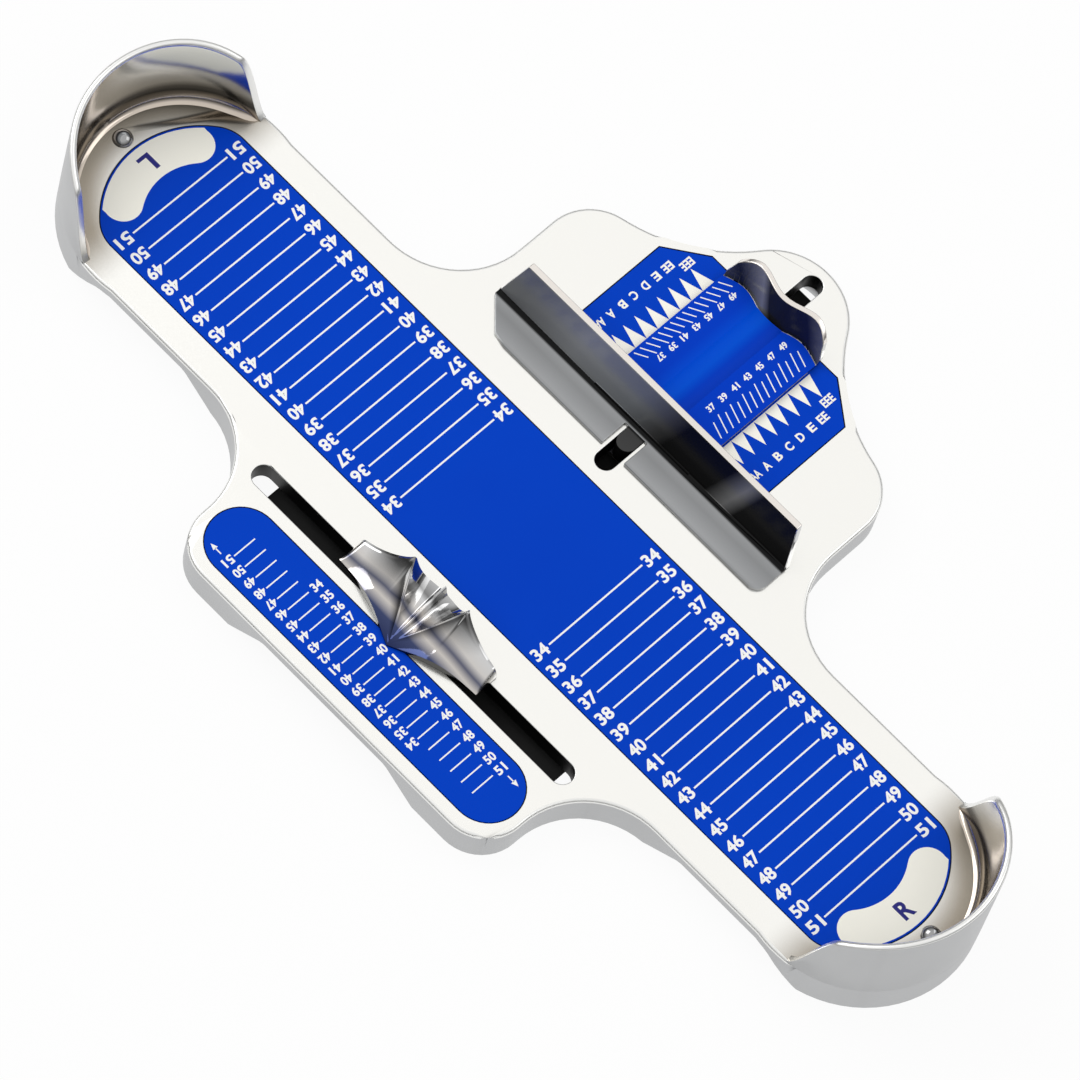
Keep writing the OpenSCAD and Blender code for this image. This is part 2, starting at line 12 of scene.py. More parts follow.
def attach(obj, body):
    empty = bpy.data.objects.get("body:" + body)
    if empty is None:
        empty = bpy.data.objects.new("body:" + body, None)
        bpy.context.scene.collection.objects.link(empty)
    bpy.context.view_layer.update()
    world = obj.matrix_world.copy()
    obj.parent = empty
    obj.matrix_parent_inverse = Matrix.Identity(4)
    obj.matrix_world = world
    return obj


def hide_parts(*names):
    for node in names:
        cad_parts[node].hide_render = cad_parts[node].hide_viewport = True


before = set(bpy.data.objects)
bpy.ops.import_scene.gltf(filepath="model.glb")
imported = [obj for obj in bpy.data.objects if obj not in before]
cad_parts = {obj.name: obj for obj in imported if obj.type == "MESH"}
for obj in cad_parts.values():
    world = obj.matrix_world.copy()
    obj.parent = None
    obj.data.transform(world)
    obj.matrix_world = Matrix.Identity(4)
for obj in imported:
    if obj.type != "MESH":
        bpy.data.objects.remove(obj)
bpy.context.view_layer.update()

LOG = logging.getLogger("foot_gauge")

Pair = tuple[float, float]
Triple = tuple[float, float, float]
Shape = bmesh.types.BMesh
Tree = bpy.types.NodeTree
Socket = bpy.types.NodeSocket
Given = bpy.types.NodeSocket | float | tuple[float, ...]

# sizes are in millimetres, and heights are above the table
MM = 0.001
# Y of the length scale's centre line, from which other Y distances are taken
STRIP_Y = -24.6
DECK_TOP = 12.7
SLIDE_TOP = 14.8
PLATE_T = 0.8
PRINT_T = 0.03
# distance of a heel cup's centre from the middle
CUP_X = 141.6
# distance within which corners of a CAD mesh are the same
MERGE = 0.001


class Body(Enum):
    """The three bodies that the pieces ride on."""

    BASE = "base"
    WIDTH = "width_slider"
    ARCH = "arch_slider"


class Zone(Enum):
    """The parts of the casting that are finished differently; the cup's inside has painted reflections,
    and the skirt's darker grey is partly painted shade.
    """

    DECK = 0
    CUP = 1
    SKIRT = 2
    POCKET = 3
    UNDERSIDE = 4
    EDGE = 5
    SLOT = 6


class BarZone(Enum):
    """The parts of the width bar that are finished differently: painted reflections on the foot, the wall
    and the grip, and a painted highlight on the rim.
    """

    FLAT = 0
    WALL = 1
    GRIP = 2
    RIM = 3
    BACK = 4


class PointerZone(Enum):
    """The parts of the arch pointer: its skin with painted reflections, and its sides in painted shade."""

    SKIN = 0
    SIDE = 1


def placed(x: float, y: float, z: float) -> Vector:
    """A point about the length scale's centre line, in the part's frame and in metres."""
    return Vector((x, y + STRIP_Y, z)) * MM


def share_of(value: float, start: float, end: float) -> float:
    """How far a value is from start to end, kept within 0 and 1."""
    return min(1.0, max(0.0, (value - start) / (end - start)))


# ---------------------------------------------------------------- shader steps


def feed(tree: Tree, into: Socket, given: Given) -> None:
    """Links an input to a socket, or sets a constant on it.

    Args:
        tree: the node tree.
        into: the input.
        given: a socket, a number or a colour.
    """
    if isinstance(given, Socket):
        tree.links.new(given, into)
    else:
        into.default_value = given


def maths(tree: Tree, how: str, *terms: Given) -> Socket:
    """Adds a step of arithmetic.

    Args:
        tree: the node tree.
        how: the kind of step.
        terms: the sockets and numbers that it takes, in order.

    Returns:
        The socket of its result.
    """
    step = tree.nodes.new("ShaderNodeMath")
    step.operation = how
    for into, term in zip(step.inputs, terms):
        feed(tree, into, term)
    return step.outputs[0]


def mixed(tree: Tree, share: Given, first: Given, second: Given, blend: str = "MIX") -> Socket:
    """Adds a mix of two colours.

    Args:
        tree: the node tree.
        share: how much the second colour counts.
        first: the colour below.
        second: the colour above.
        blend: how the second is laid on.

    Returns:
        The socket of the mixed colour.
    """
    mix = tree.nodes.new("ShaderNodeMix")
    mix.data_type = "RGBA"
    mix.blend_type = blend
    for label, given in (("Factor", share), ("A", first), ("B", second)):
        feed(tree, mix.inputs[label], given)
    return mix.outputs["Result"]


def ranged(
    tree: Tree, value: Given, reach: Pair, low: Given = 0.0, high: Given = 1.0, kind: str = "LINEAR"
) -> Socket:
    """Adds a step that turns a value's reach into another range.

    Args:
        tree: the node tree.
        value: the value.
        reach: the values that become low and high.
        low: the range's start.
        high: the range's end.
        kind: how the result runs between them.

    Returns:
        The socket of the result, which stays inside the range.
    """
    step = tree.nodes.new("ShaderNodeMapRange")
    step.interpolation_type = kind
    labels = ("Value", "From Min", "From Max", "To Min", "To Max")
    for label, given in zip(labels, (value, *reach, low, high)):
        feed(tree, step.inputs[label], given)
    return step.outputs["Result"]


def parted(tree: Tree, kind: str = "Object") -> tuple[Socket, Socket, Socket]:
    """Adds the X, Y and Z of a point's coordinates of one kind."""
    split = tree.nodes.new("ShaderNodeSeparateXYZ")
    feed(tree, split.inputs[0], tree.nodes.new("ShaderNodeTexCoord").outputs[kind])
    return tuple(split.outputs)


def noise(tree: Tree, scale: Given, detail: float) -> Socket:
    """Adds a noise that stays on the piece.

    Args:
        tree: the node tree.
        scale: how fine it is.
        detail: how many finer layers it has.

    Returns:
        The socket of its strength, 0 to 1.
    """
    made = tree.nodes.new("ShaderNodeTexNoise")
    place = tree.nodes.new("ShaderNodeTexCoord").outputs["Object"]
    for label, given in (("Vector", place), ("Scale", scale), ("Detail", detail)):
        feed(tree, made.inputs[label], given)
    return made.outputs["Fac"]


def mottle_group() -> Tree:
    """Builds the shared effect: soft cloudy variation and fine grain.

    Returns:
        A node group that puts out a colour, a roughness and a normal.
    """
    name = "hand_finish"
    if name in bpy.data.node_groups:
        return bpy.data.node_groups[name]
    tree = bpy.data.node_groups.new(name, "ShaderNodeTree")
    face = tree.interface
    for label, kind, value in (
        ("Clean", "NodeSocketColor", (0.8, 0.8, 0.8, 1)),
        ("Cloudy", "NodeSocketColor", (0.7, 0.7, 0.7, 1)),
        ("Smoothest", "NodeSocketFloat", 0.2),
        ("Roughest", "NodeSocketFloat", 0.3),
        ("Cloud Scale", "NodeSocketFloat", 18.0),
        ("Grain Scale", "NodeSocketFloat", 1500.0),
        ("Grain Depth", "NodeSocketFloat", 0.05),
    ):
        face.new_socket(name=label, in_out="INPUT", socket_type=kind).default_value = value
    for label, kind in (
        ("Color", "NodeSocketColor"),
        ("Roughness", "NodeSocketFloat"),
        ("Normal", "NodeSocketVector"),
    ):
        face.new_socket(name=label, in_out="OUTPUT", socket_type=kind)
    given = tree.nodes.new("NodeGroupInput").outputs
    result = tree.nodes.new("NodeGroupOutput").inputs
    cloud = noise(tree, given["Cloud Scale"], 3.0)
    bump = tree.nodes.new("ShaderNodeBump")
    feed(tree, bump.inputs["Distance"], 0.0001)
    feed(tree, bump.inputs["Strength"], given["Grain Depth"])
    feed(tree, bump.inputs["Height"], noise(tree, given["Grain Scale"], 2.0))
    feed(tree, result["Color"], mixed(tree, cloud, given["Clean"], given["Cloudy"]))
    rough = ranged(tree, cloud, (0.0, 1.0), given["Smoothest"], given["Roughest"])
    feed(tree, result["Roughness"], rough)
    feed(tree, result["Normal"], bump.outputs["Normal"])
    return tree


# ---------------------------------------------------------------- finishes


@dataclass(frozen=True)
class PaintedLightBands:
    """Stripes of painted reflection and painted shade across a polished face, as a mirror finish shows
    them.

    Attributes:
        along: the direction in which the tint changes.
        reach: where the first and the last tint are, that way.
        tints: share of the reach and tint, in order.
    """

    along: Triple
    reach: Pair
    tints: tuple[tuple[float, Triple], ...]

    def over(self, tree: Tree, under: Socket) -> Socket:
        """Lays the painted stripes over a colour.

        Args:
            tree: the material's node tree.
            under: the colour that they tint.

        Returns:
            The tinted colour.
        """
        across = tree.nodes.new("ShaderNodeVectorMath")
        across.operation = "DOT_PRODUCT"
        feed(tree, across.inputs[0], tree.nodes.new("ShaderNodeTexCoord").outputs["Object"])
        feed(tree, across.inputs[1], self.along)
        start, end = self.reach
        ramp = tree.nodes.new("ShaderNodeValToRGB")
        feed(tree, ramp.inputs["Fac"], ranged(tree, across.outputs["Value"], (start * MM, end * MM)))
        stops = ramp.color_ramp.elements
        while len(stops) < len(self.tints):
            stops.new(0.5)
        for stop, (where, tint) in zip(stops, self.tints):
            stop.position = where
            stop.color = (*tint, 1)
        return mixed(tree, 1.0, under, ramp.outputs["Color"], "MULTIPLY")


@dataclass(frozen=True)
class CupShade:
    """The brownish painted shade on the deck round a heel cup's wall, where the wall shades it.

    Attributes:
        ring: distances from the cup's centre between which the shade deepens.
        behind: distances behind the cup's centre between which it sets in.
        tint: its deepest tint.
    """

    ring: Pair = (18.0, 31.0)
    behind: Pair = (-6.0, 12.0)
    tint: Triple = (0.36, 0.32, 0.27)

    def over(self, tree: Tree, under: Socket) -> Socket:
        """Lays the painted shade over a colour.

        Args:
            tree: the material's node tree.
            under: the deck's colour.

        Returns:
            The shaded colour.
        """
        x, y, _ = parted(tree)
        along = maths(tree, "ABSOLUTE", x)
        spot, away = tree.nodes.new("ShaderNodeCombineXYZ"), tree.nodes.new("ShaderNodeVectorMath")
        feed(tree, spot.inputs["X"], along)
        feed(tree, spot.inputs["Y"], y)
        away.operation = "DISTANCE"
        feed(tree, away.inputs[0], spot.outputs[0])
        feed(tree, away.inputs[1], (CUP_X * MM, STRIP_Y * MM, 0))
        ring = tuple(r * MM for r in self.ring)
        behind = tuple((CUP_X + x) * MM for x in self.behind)
        deep = ranged(tree, away.outputs["Value"], ring, kind="SMOOTHSTEP")
        back = ranged(tree, along, behind, kind="SMOOTHSTEP")
        return mixed(tree, maths(tree, "MULTIPLY", deep, back), under, (*self.tint, 1), "MULTIPLY")


@dataclass(frozen=True)
class Finish:
    """One procedural finish.

    Attributes:
        name: the material's name.
        clean: main colour.
        cloudy: colour that the main one drifts to.
        rough: smoothest and roughest value.
        metal: 1 for bare metal, 0 for paint.
        specular: strength of the gloss on paint.
        grain: depth of the fine grain.
        painted_light: painted reflection stripes or painted shade laid over the colour, where a finish has
            them.
    """

    name: str
    clean: Triple
    cloudy: Triple
    rough: Pair
    metal: float = 1.0
    specular: float = 0.5
    grain: float = 0.05
    painted_light: PaintedLightBands | CupShade | None = None

    def material(self) -> bpy.types.Material:
        """Gives the finish's material, which is built when it is first asked for.

        Returns:
            The material.
        """
        found = bpy.data.materials.get(self.name)
        if found:
            return found
        made = bpy.data.materials.new(self.name)
        made.use_nodes = True
        tree = made.node_tree
        effect = tree.nodes.new("ShaderNodeGroup")
        effect.node_tree = mottle_group()
        for label, value in (
            ("Clean", (*self.clean, 1)),
            ("Cloudy", (*self.cloudy, 1)),
            ("Smoothest", self.rough[0]),
            ("Roughest", self.rough[1]),
            ("Grain Depth", self.grain),
        ):
            feed(tree, effect.inputs[label], value)
        colour = effect.outputs["Color"]
        # painted reflections and painted shade are multiplied into the colour here
        if self.painted_light:
            colour = self.painted_light.over(tree, colour)
        for label, value in (
            ("Base Color", colour),
            ("Metallic", self.metal),
            ("Specular IOR Level", self.specular),
            ("Roughness", effect.outputs["Roughness"]),
            ("Normal", effect.outputs["Normal"]),
        ):
            feed(tree, tree.nodes["Principled BSDF"].inputs[label], value)
        return made


def grey(value: float, warm: float = 0.0) -> Triple:
    """A grey that is a little warm, or cool when warm is below zero."""
    return value * (1 + warm), value, value * (1 - warm)


# painted reflections inside a heel cup, by height: warm painted shade at the fillet, a dark band low on
# the wall, then lighter up to the rim
CUP_PAINTED_REFLECTIONS = PaintedLightBands(
    (0, 0, 1),
    (12.7, 45.7),
    (
        (0.0, grey(0.6, 0.14)),
        (0.07, grey(0.4, 0.1)),
        (0.13, grey(0.06)),
        (0.2, grey(0.12)),
        (0.3, grey(0.55, -0.02)),
        (0.8, grey(0.8, -0.02)),
        (1.0, grey(1.0)),
    ),
)
# painted highlight along the slide plate's rib: full blue in the middle, darker blue to both sides
RIB_PAINTED_HIGHLIGHT = PaintedLightBands(
    (1, 0, 0),
    (-9, 6),
    (
        (0.0, (1.0, 0.58, 0.86)),
        (0.3, (1.0, 0.9, 1.0)),
        (0.55, (1.0, 1.0, 1.0)),
        (0.75, (1.0, 0.58, 0.86)),
        (1.0, (1.0, 0.58, 0.86)),
    ),
)
# painted reflections across the bar's flat foot, with a near-black painted line at the foot of the wall
FOOT_PAINTED_REFLECTIONS = PaintedLightBands(
    (0, 1, 0),
    (13, 37),
    (
        (0.0, grey(0.8)),
        (0.06, grey(1.0)),
        (0.3, grey(0.75)),
        (0.42, grey(0.9)),
        (0.45, grey(0.04)),
        (0.53, grey(0.04)),
        (0.58, grey(0.9, 0.05)),
        (1.0, grey(0.9, 0.05)),
    ),
)
# painted reflections on the bar's wall: grey streaks toward one end, near black toward the other
WALL_PAINTED_REFLECTIONS = PaintedLightBands(
    (1, 0, -0.4),
    (-60, 55),
    (
        (0.0, grey(0.6, -0.04)),
        (0.2, grey(1.0, -0.04)),
        (0.4, grey(0.7, -0.06)),
        (0.5, grey(0.2)),
        (0.54, grey(0.02)),
        (0.7, grey(0.02)),
        (0.76, grey(0.7)),
        (0.8, grey(0.03)),
        (1.0, grey(0.02)),
    ),
)
# painted reflections on the finger grip: blue-grey and black stripes with a pale one between
GRIP_PAINTED_REFLECTIONS = PaintedLightBands(
    (1, 0, 0.6),
    (-14, 32),
    (
        (0.0, (0.3, 0.32, 0.42)),
        (0.2, (0.05, 0.06, 0.11)),
        (0.42, grey(0.8)),
        (0.5, grey(0.06)),
        (0.8, (0.04, 0.05, 0.14)),
        (1.0, (0.5, 0.52, 0.64)),
    ),
)
# painted reflections across the arch pointer, back to front: greys, then dark navy stripes
POINTER_PAINTED_REFLECTIONS = PaintedLightBands(
    (0, -1, 0),
    (57, 80),
    (
        (0.0, grey(0.7)),
        (0.2, grey(0.3)),
        (0.28, grey(0.85)),
        (0.42, grey(0.8, 0.04)),
        (0.52, (0.14, 0.15, 0.22)),
        (0.62, grey(0.75, 0.06)),
        (0.76, (0.07, 0.09, 0.2)),
        (1.0, (0.03, 0.04, 0.12)),
    ),
)
# the deck's colour, with the painted shade round each heel cup
DECK_POLISH = Finish("deck_polish", (0.99, 0.98, 0.94), (0.95, 0.94, 0.9), (0.2, 0.3), painted_light=CupShade())
# a slightly greyer, rougher and grainier strip on the rounded edges and along the rim's top
EDGE_GREY = Finish("edge_grey", (0.9, 0.9, 0.88), (0.8, 0.8, 0.78), (0.24, 0.4), grain=0.12)
# the cup's inside: mirror grey with painted reflections and painted shade laid over it
CUP_MIRROR = Finish("cup_mirror", grey(1.0), grey(0.8), (0.06, 0.16), painted_light=CUP_PAINTED_REFLECTIONS)
# upright faces of the casting: darker grey than the deck, which is partly painted shade; the higher
# roughness is the satin finish
SKIRT_SATIN_PAINTED_SHADE = Finish("skirt_satin_painted_shade", grey(0.56, -0.01), grey(0.47, -0.01), (0.38, 0.5), grain=0.15)
SLOT_SHADOW = Finish("slot_shadow", grey(0.035), grey(0.02), (0.35, 0.5))
POCKET_SHADOW = Finish("pocket_shadow", grey(0.02), grey(0.03), (0.6, 0.7))
SAND_CAST = Finish("sand_cast", grey(0.45), grey(0.36), (0.5, 0.65), grain=0.4)
BLUE_ENAMEL = Finish(
    "enamel_blue", (0.0, 0.055, 0.56), (0.0, 0.044, 0.49), (0.3, 0.36), 0.0, 0.04, 0.02
)
# the slide plate's blue, with the painted highlight along its rib
SLIDE_ENAMEL = Finish(
    "slide_enamel", (0.0, 0.085, 0.66), (0.0, 0.07, 0.58), (0.3, 0.36), 0.0, 0.04, 0.02, RIB_PAINTED_HIGHLIGHT
)
WHITE_INK = Finish("white_ink", (0.94, 0.94, 0.92), (0.9, 0.9, 0.88), (0.45, 0.5), 0.0, 0.0)
CREAM_INK = Finish("cream_ink", (0.97, 0.95, 0.86), (0.94, 0.92, 0.83), (0.45, 0.5), 0.0, 0.0)
NAVY_INK = Finish("navy_ink", (0.03, 0.03, 0.22), (0.03, 0.03, 0.2), (0.45, 0.5), 0.0, 0.1)
# the bar's foot: chrome with painted reflections
FOOT_CHROME = Finish("foot_chrome", grey(0.42, -0.02), grey(0.3, -0.02), (0.12, 0.22), painted_light=FOOT_PAINTED_REFLECTIONS)
# the bar's wall: chrome with little metal, so that its painted reflections give its colours
WALL_CHROME = Finish("wall_chrome", grey(0.34), grey(0.24), (0.1, 0.2), 0.3, 0.2, painted_light=WALL_PAINTED_REFLECTIONS)
# the finger grip: chrome with little metal, so that its painted reflections give its colours
GRIP_CHROME = Finish("grip_chrome", grey(0.4), grey(0.3), (0.1, 0.2), 0.3, 0.2, painted_light=GRIP_PAINTED_REFLECTIONS)
# the bar's faces turned up, a warm pale grey: painted highlight
BAR_RIM_PAINTED_HIGHLIGHT = Finish("bar_rim_painted_highlight", grey(0.86, 0.06), grey(0.75, 0.06), (0.15, 0.25))
BACK_CHROME = Finish("back_chrome", grey(0.7), grey(0.6), (0.12, 0.2))
# the arch pointer's skin: chrome with painted reflections
POINTER_CHROME = Finish("pointer_chrome", grey(0.8), grey(0.7), (0.05, 0.1), painted_light=POINTER_PAINTED_REFLECTIONS)
# the arch pointer's sides, near black: painted shade
POINTER_SIDE_PAINTED_SHADE = Finish("pointer_side_painted_shade", grey(0.06), grey(0.03), (0.15, 0.25))
BRIGHT_STUD = Finish("stud_mirror", grey(0.45), grey(0.3), (0.05, 0.12))
DARK_GUIDE = Finish("guide_black", grey(0.05), grey(0.07), (0.4, 0.5))
SPRING_STEEL = Finish("spring_blued", (0.3, 0.31, 0.34), (0.24, 0.25, 0.28), (0.25, 0.35))
ZINC_STEEL = Finish("steel_zinc", (0.6, 0.6, 0.57), (0.5, 0.5, 0.47), (0.3, 0.42))


# ---------------------------------------------------------------- meshes


def shown(name: str, bm: Shape) -> bpy.types.Object:
    """Puts a bmesh into the scene.

    Args:
        name: the object's name.
        bm: its mesh, which is used up.

    Returns:
        The new object.
    """
    mesh = bpy.data.meshes.new(name)
    bm.to_mesh(mesh)
    bm.free()
    made = bpy.data.objects.new(name, mesh)
    bpy.context.scene.collection.objects.link(made)
    return made


def finished(
    name: str,
    bm: Shape,
    body: Body,
    finishes: tuple[Finish, ...],
    replaces: str = "",
) -> bpy.types.Object:
    """Makes a bmesh a piece of the object.

    Args:
        name: the piece's name.
        bm: its mesh, already in place, which is used up.
        body: the body that it rides on.
        finishes: one finish for each material index in use.
        replaces: the CAD node that the piece stands for, if any.

    Returns:
        The new object.
    """
    piece = shown(name, bm)
    for finish in finishes:
        piece.data.materials.append(finish.material())
    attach(piece, body.value)
    if replaces:
        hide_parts(replaces)
    LOG.info("%s: %d faces", name, len(piece.data.polygons))
    return piece


def open_edges(bm: Shape) -> list[bmesh.types.BMEdge]:
    """The edges that only one face uses."""
    return [edge for edge in bm.edges if len(edge.link_faces) == 1]


def joined_copy(node: str) -> Shape:
    """Copies a CAD node's mesh and joins its corners.

    Args:
        node: the CAD node's name.

    Returns:
        A new bmesh.
    """
    bm = bmesh.new()
    bm.from_mesh(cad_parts[node].data)
    bmesh.ops.remove_doubles(bm, verts=bm.verts, dist=MERGE * MM)
    return bm


def flattened(bm: Shape) -> None:
    """Joins a mesh's loose triangles into flat faces, shaded smooth."""
    bmesh.ops.dissolve_limit(bm, angle_limit=math.radians(0.5), verts=bm.verts, edges=bm.edges)
    for face in bm.faces:
        face.smooth = True


def rounded(piece: bpy.types.Object, width: float, strip: int = -1) -> None:
    """Rounds a piece's weighted edges and evens out its shading.

    Args:
        piece: the object to finish.
        width: rounding of an edge of full weight.
        strip: material index of the rounded strips, or -1 for their neighbours'.
    """
    bevel = piece.modifiers.new("rounding", "BEVEL")
    bevel.width = width * MM
    bevel.segments = 3
    bevel.limit_method = "WEIGHT"
    bevel.use_clamp_overlap = False
    bevel.material = strip
    shade = piece.modifiers.new("shading", "WEIGHTED_NORMAL")
    shade.keep_sharp = True


def weigh_edges(
    bm: Shape,
    angle: float,
    shortest: float,
    weight: Callable[[bmesh.types.BMEdge], float],
) -> None:
    """Gives each sharp edge the weight that sets how round it becomes.

    Args:
        bm: the mesh.
        angle: edges that turn less than this, in degrees, stay as they are.
        shortest: edges shorter than this stay sharp.
        weight: a function from an edge to its weight, 0 to 1.
    """
    layer = bm.edges.layers.float.new("bevel_weight_edge")
    for edge in bm.edges:
        if len(edge.link_faces) != 2 or edge.calc_face_angle(0) < math.radians(angle):
            continue
        value = weight(edge) if edge.calc_length() > shortest * MM else 0.0
        edge[layer] = value
        edge.smooth = value > 0


@dataclass(frozen=True)
class Patch:
    """A patch of the deck that is alike on both sides of the middle.

    Attributes:
        half: half its length along the foot.
        near: its least Y from the scale's centre line.
        far: its greatest Y.
    """

    half: float
    near: float
    far: float

    def holds(self, point: Vector) -> bool:
        """Whether a point of the part's frame is over the patch."""
        return abs(point.x) / MM < self.half and self.near < point.y / MM - STRIP_Y < self.far


@dataclass
class HeelCup:
    """The wall of one heel cup, with a rounded rim.

    Attributes:
        outer: outer radius at the deck and at the rim.
        inner: inner radius just above the fillet and at the rim.
        floor_r: inner radius where the fillet meets the deck.
        fillet: height of the fillet.
        height: height of the rim at the back.
        rise: where the steep rise starts and ends, behind the cup's centre.
        rise_h: height at the end of the steep rise.
        edge_strip: how far down from the rim's top the greyer edge strip reaches.
        root: how deep the wall reaches into the deck.
        steps: sections round the cup.
        arc_steps: faces over the rim, and down the fillet.
    """

    outer: Pair = (37.8, 37.6)
    inner: Pair = (35.0, 35.3)
    floor_r: float = 32.0
    fillet: float = 6.0
    height: float = 33.0
    rise: Pair = (5.0, 15.5)
    rise_h: float = 20.0
    edge_strip: float = 0.7
    root: float = 0.1
    steps: int = 110
    arc_steps: int = 8

    def rim(self, x: float) -> float:
        """Height of the rim above the deck, at x behind the cup's centre."""
        t = share_of(x, *self.rise)
        u = share_of(x, self.outer[1], self.rise[0])
        return self.rise_h * t * t * (3 - 2 * t) + (self.height - self.rise_h) * (1 - u * u)

    def section(self) -> list[Pair]:
        """Draws the wall's section.

        Returns:
            Its corners, as radius and height above the root.
        """
        nose = (self.outer[1] - self.inner[1]) / 2
        top = self.height + self.root - nose
        bulge = self.inner[0] - self.floor_r
        turns = [math.pi * i / self.arc_steps for i in range(self.arc_steps + 1)]
        return [
            (self.outer[0], 0.0),
            *((self.inner[1] + nose * (1 + math.cos(a)), top + nose * math.sin(a)) for a in turns),
            *(
                (self.floor_r + bulge * math.cos(a / 2), self.root + self.fillet * (1 - math.sin(a / 2)))
                for a in turns
            ),
            (self.floor_r, 0.0),
        ]

    def add_to(self, bm: Shape, side: int) -> None:
        """Adds the wall to the casting.

        Args:
            bm: the casting's mesh.
            side: 1 for the right foot's end, -1 for the left's.
        """
        wall = bmesh.new()
        reach = math.acos(self.rise[0] / self.outer[0])
        start = Matrix.Rotation(-reach, 4, "Z")
        ring = [wall.verts.new(start @ Vector((r, 0, z)) * MM) for r, z in self.section()]
        edges = [wall.edges.new((ring[i - 1], ring[i])) for i in range(len(ring))]
        bmesh.ops.spin(
            wall, geom=ring + edges, cent=(0, 0, 0), axis=(0, 0, 1), angle=2 * reach, steps=self.steps
        )
        bmesh.ops.holes_fill(wall, edges=open_edges(wall))
        bmesh.ops.recalc_face_normals(wall, faces=wall.faces)
        for face in wall.faces:
            face.smooth = True
            centre = face.calc_center_median()
            # inward faces take the cup's painted reflections, outward faces the skirt's partly shaded grey
            inwards = face.normal.x * centre.x + face.normal.y * centre.y < 0
            zone = Zone.CUP if inwards else Zone.SKIRT
            if centre.z / MM > self.height - self.edge_strip:
                zone = Zone.EDGE
            face.material_index = zone.value
        for vert in wall.verts:
            share = (self.rim(vert.co.x / MM) + self.root) / (self.height + self.root)
            vert.co.z = (DECK_TOP - self.root) * MM + vert.co.z * share
        turn = Matrix.Rotation(0 if side > 0 else math.pi, 4, "Z")
        shift = Matrix.Translation(placed(side * CUP_X, 0, 0))
        bmesh.ops.transform(wall, matrix=shift @ turn, verts=wall.verts)
        mesh = bpy.data.meshes.new("cup_wall")
        wall.to_mesh(mesh)
        wall.free()
        bm.from_mesh(mesh)
        bpy.data.meshes.remove(mesh)


@dataclass
class Casting:
    """The cast base: deck, skirt and both heel cups.

    Attributes:
        edge_round: rounding of the deck's outer edge.
        slot_weight: share of that at the slots.
        cup_from: distance behind a cup's centre from which its wall stands on the
            deck's edge.
        slots: patches that hold the slots.
        plates: patches that hold the plates' pockets, whose edges stay sharp.
        upright: the most Z that an upright face's normal has.
        level: the least Z that a level face's normal has.
        slack: how far off its height a level place may be.
        sharp: least turn of an edge that is rounded, in degrees.
        shortest: shortest edge that is rounded.
    """

    edge_round: float = 1.1
    slot_weight: float = 0.3
    cup_from: float = 4.0
    slots: tuple[Patch, ...] = (Patch(66.2, -48.6, -40.8), Patch(3.4, 31.5, 126.0))
    plates: tuple[Patch, ...] = (
        Patch(166.0, -33.0, 33.0),
        Patch(63.5, -77.0, -51.0),
        Patch(40.5, 56.0, 107.5),
    )
    upright: float = 0.5
    level: float = 0.7
    slack: float = 0.1
    sharp: float = 30.0
    shortest: float = 0.05

    def zone(self, face: bmesh.types.BMFace) -> Zone:
        """Finds which finish a face has.

        Args:
            face: a face of the casting.

        Returns:
            The zone that it belongs to.
        """
        centre, slope = face.calc_center_median(), face.normal.z
        if slope < -self.upright:
            return Zone.UNDERSIDE
        if slope < self.upright and any(slot.holds(centre) for slot in self.slots):
            return Zone.SLOT
        # upright faces take the skirt's grey, which is partly painted shade
        if slope <= self.level:
            return Zone.SKIRT
        in_pocket = abs(centre.z / MM - (DECK_TOP - PLATE_T)) < self.slack
        return Zone.POCKET if in_pocket else Zone.DECK

    def edge_weight(self, edge: bmesh.types.BMEdge) -> float:
        """Finds how round an edge becomes.

        Args:
            edge: a sharp edge of the casting.

        Returns:
            Its rounding, as a share of the deck's edge.
        """
        centre = (edge.verts[0].co + edge.verts[1].co) / 2
        off_deck = abs(centre.z / MM - DECK_TOP) > self.slack
        under_cup = abs(centre.x) / MM > CUP_X + self.cup_from
        if off_deck or under_cup or edge.calc_face_angle_signed(0) < 0:
            return 0.0
        if any(slot.holds(centre) for slot in self.slots):
            return self.slot_weight
        return 0.0 if any(plate.holds(centre) for plate in self.plates) else 1.0

    def build(self) -> None:
        """Builds the casting over its CAD node."""
        bm = joined_copy("base_casting")
        walls = [face for face in bm.faces if face.calc_center_median().z > (DECK_TOP + 0.01) * MM]
        bmesh.ops.delete(bm, geom=walls, context="FACES")
        bmesh.ops.holes_fill(bm, edges=open_edges(bm))
        bmesh.ops.recalc_face_normals(bm, faces=bm.faces)
        flattened(bm)
        LOG.info("casting: %d open edges", len(open_edges(bm)))
        for face in bm.faces:
            face.material_index = self.zone(face).value
        weigh_edges(bm, self.sharp, self.shortest, self.edge_weight)
        for side in (-1, 1):
            HeelCup().add_to(bm, side)
        finishes = (DECK_POLISH, CUP_MIRROR, SKIRT_SATIN_PAINTED_SHADE, POCKET_SHADOW, SAND_CAST, EDGE_GREY, SLOT_SHADOW)
        piece = finished("casting", bm, Body.BASE, finishes, "base_casting")
        rounded(piece, self.edge_round, Zone.EDGE.value)


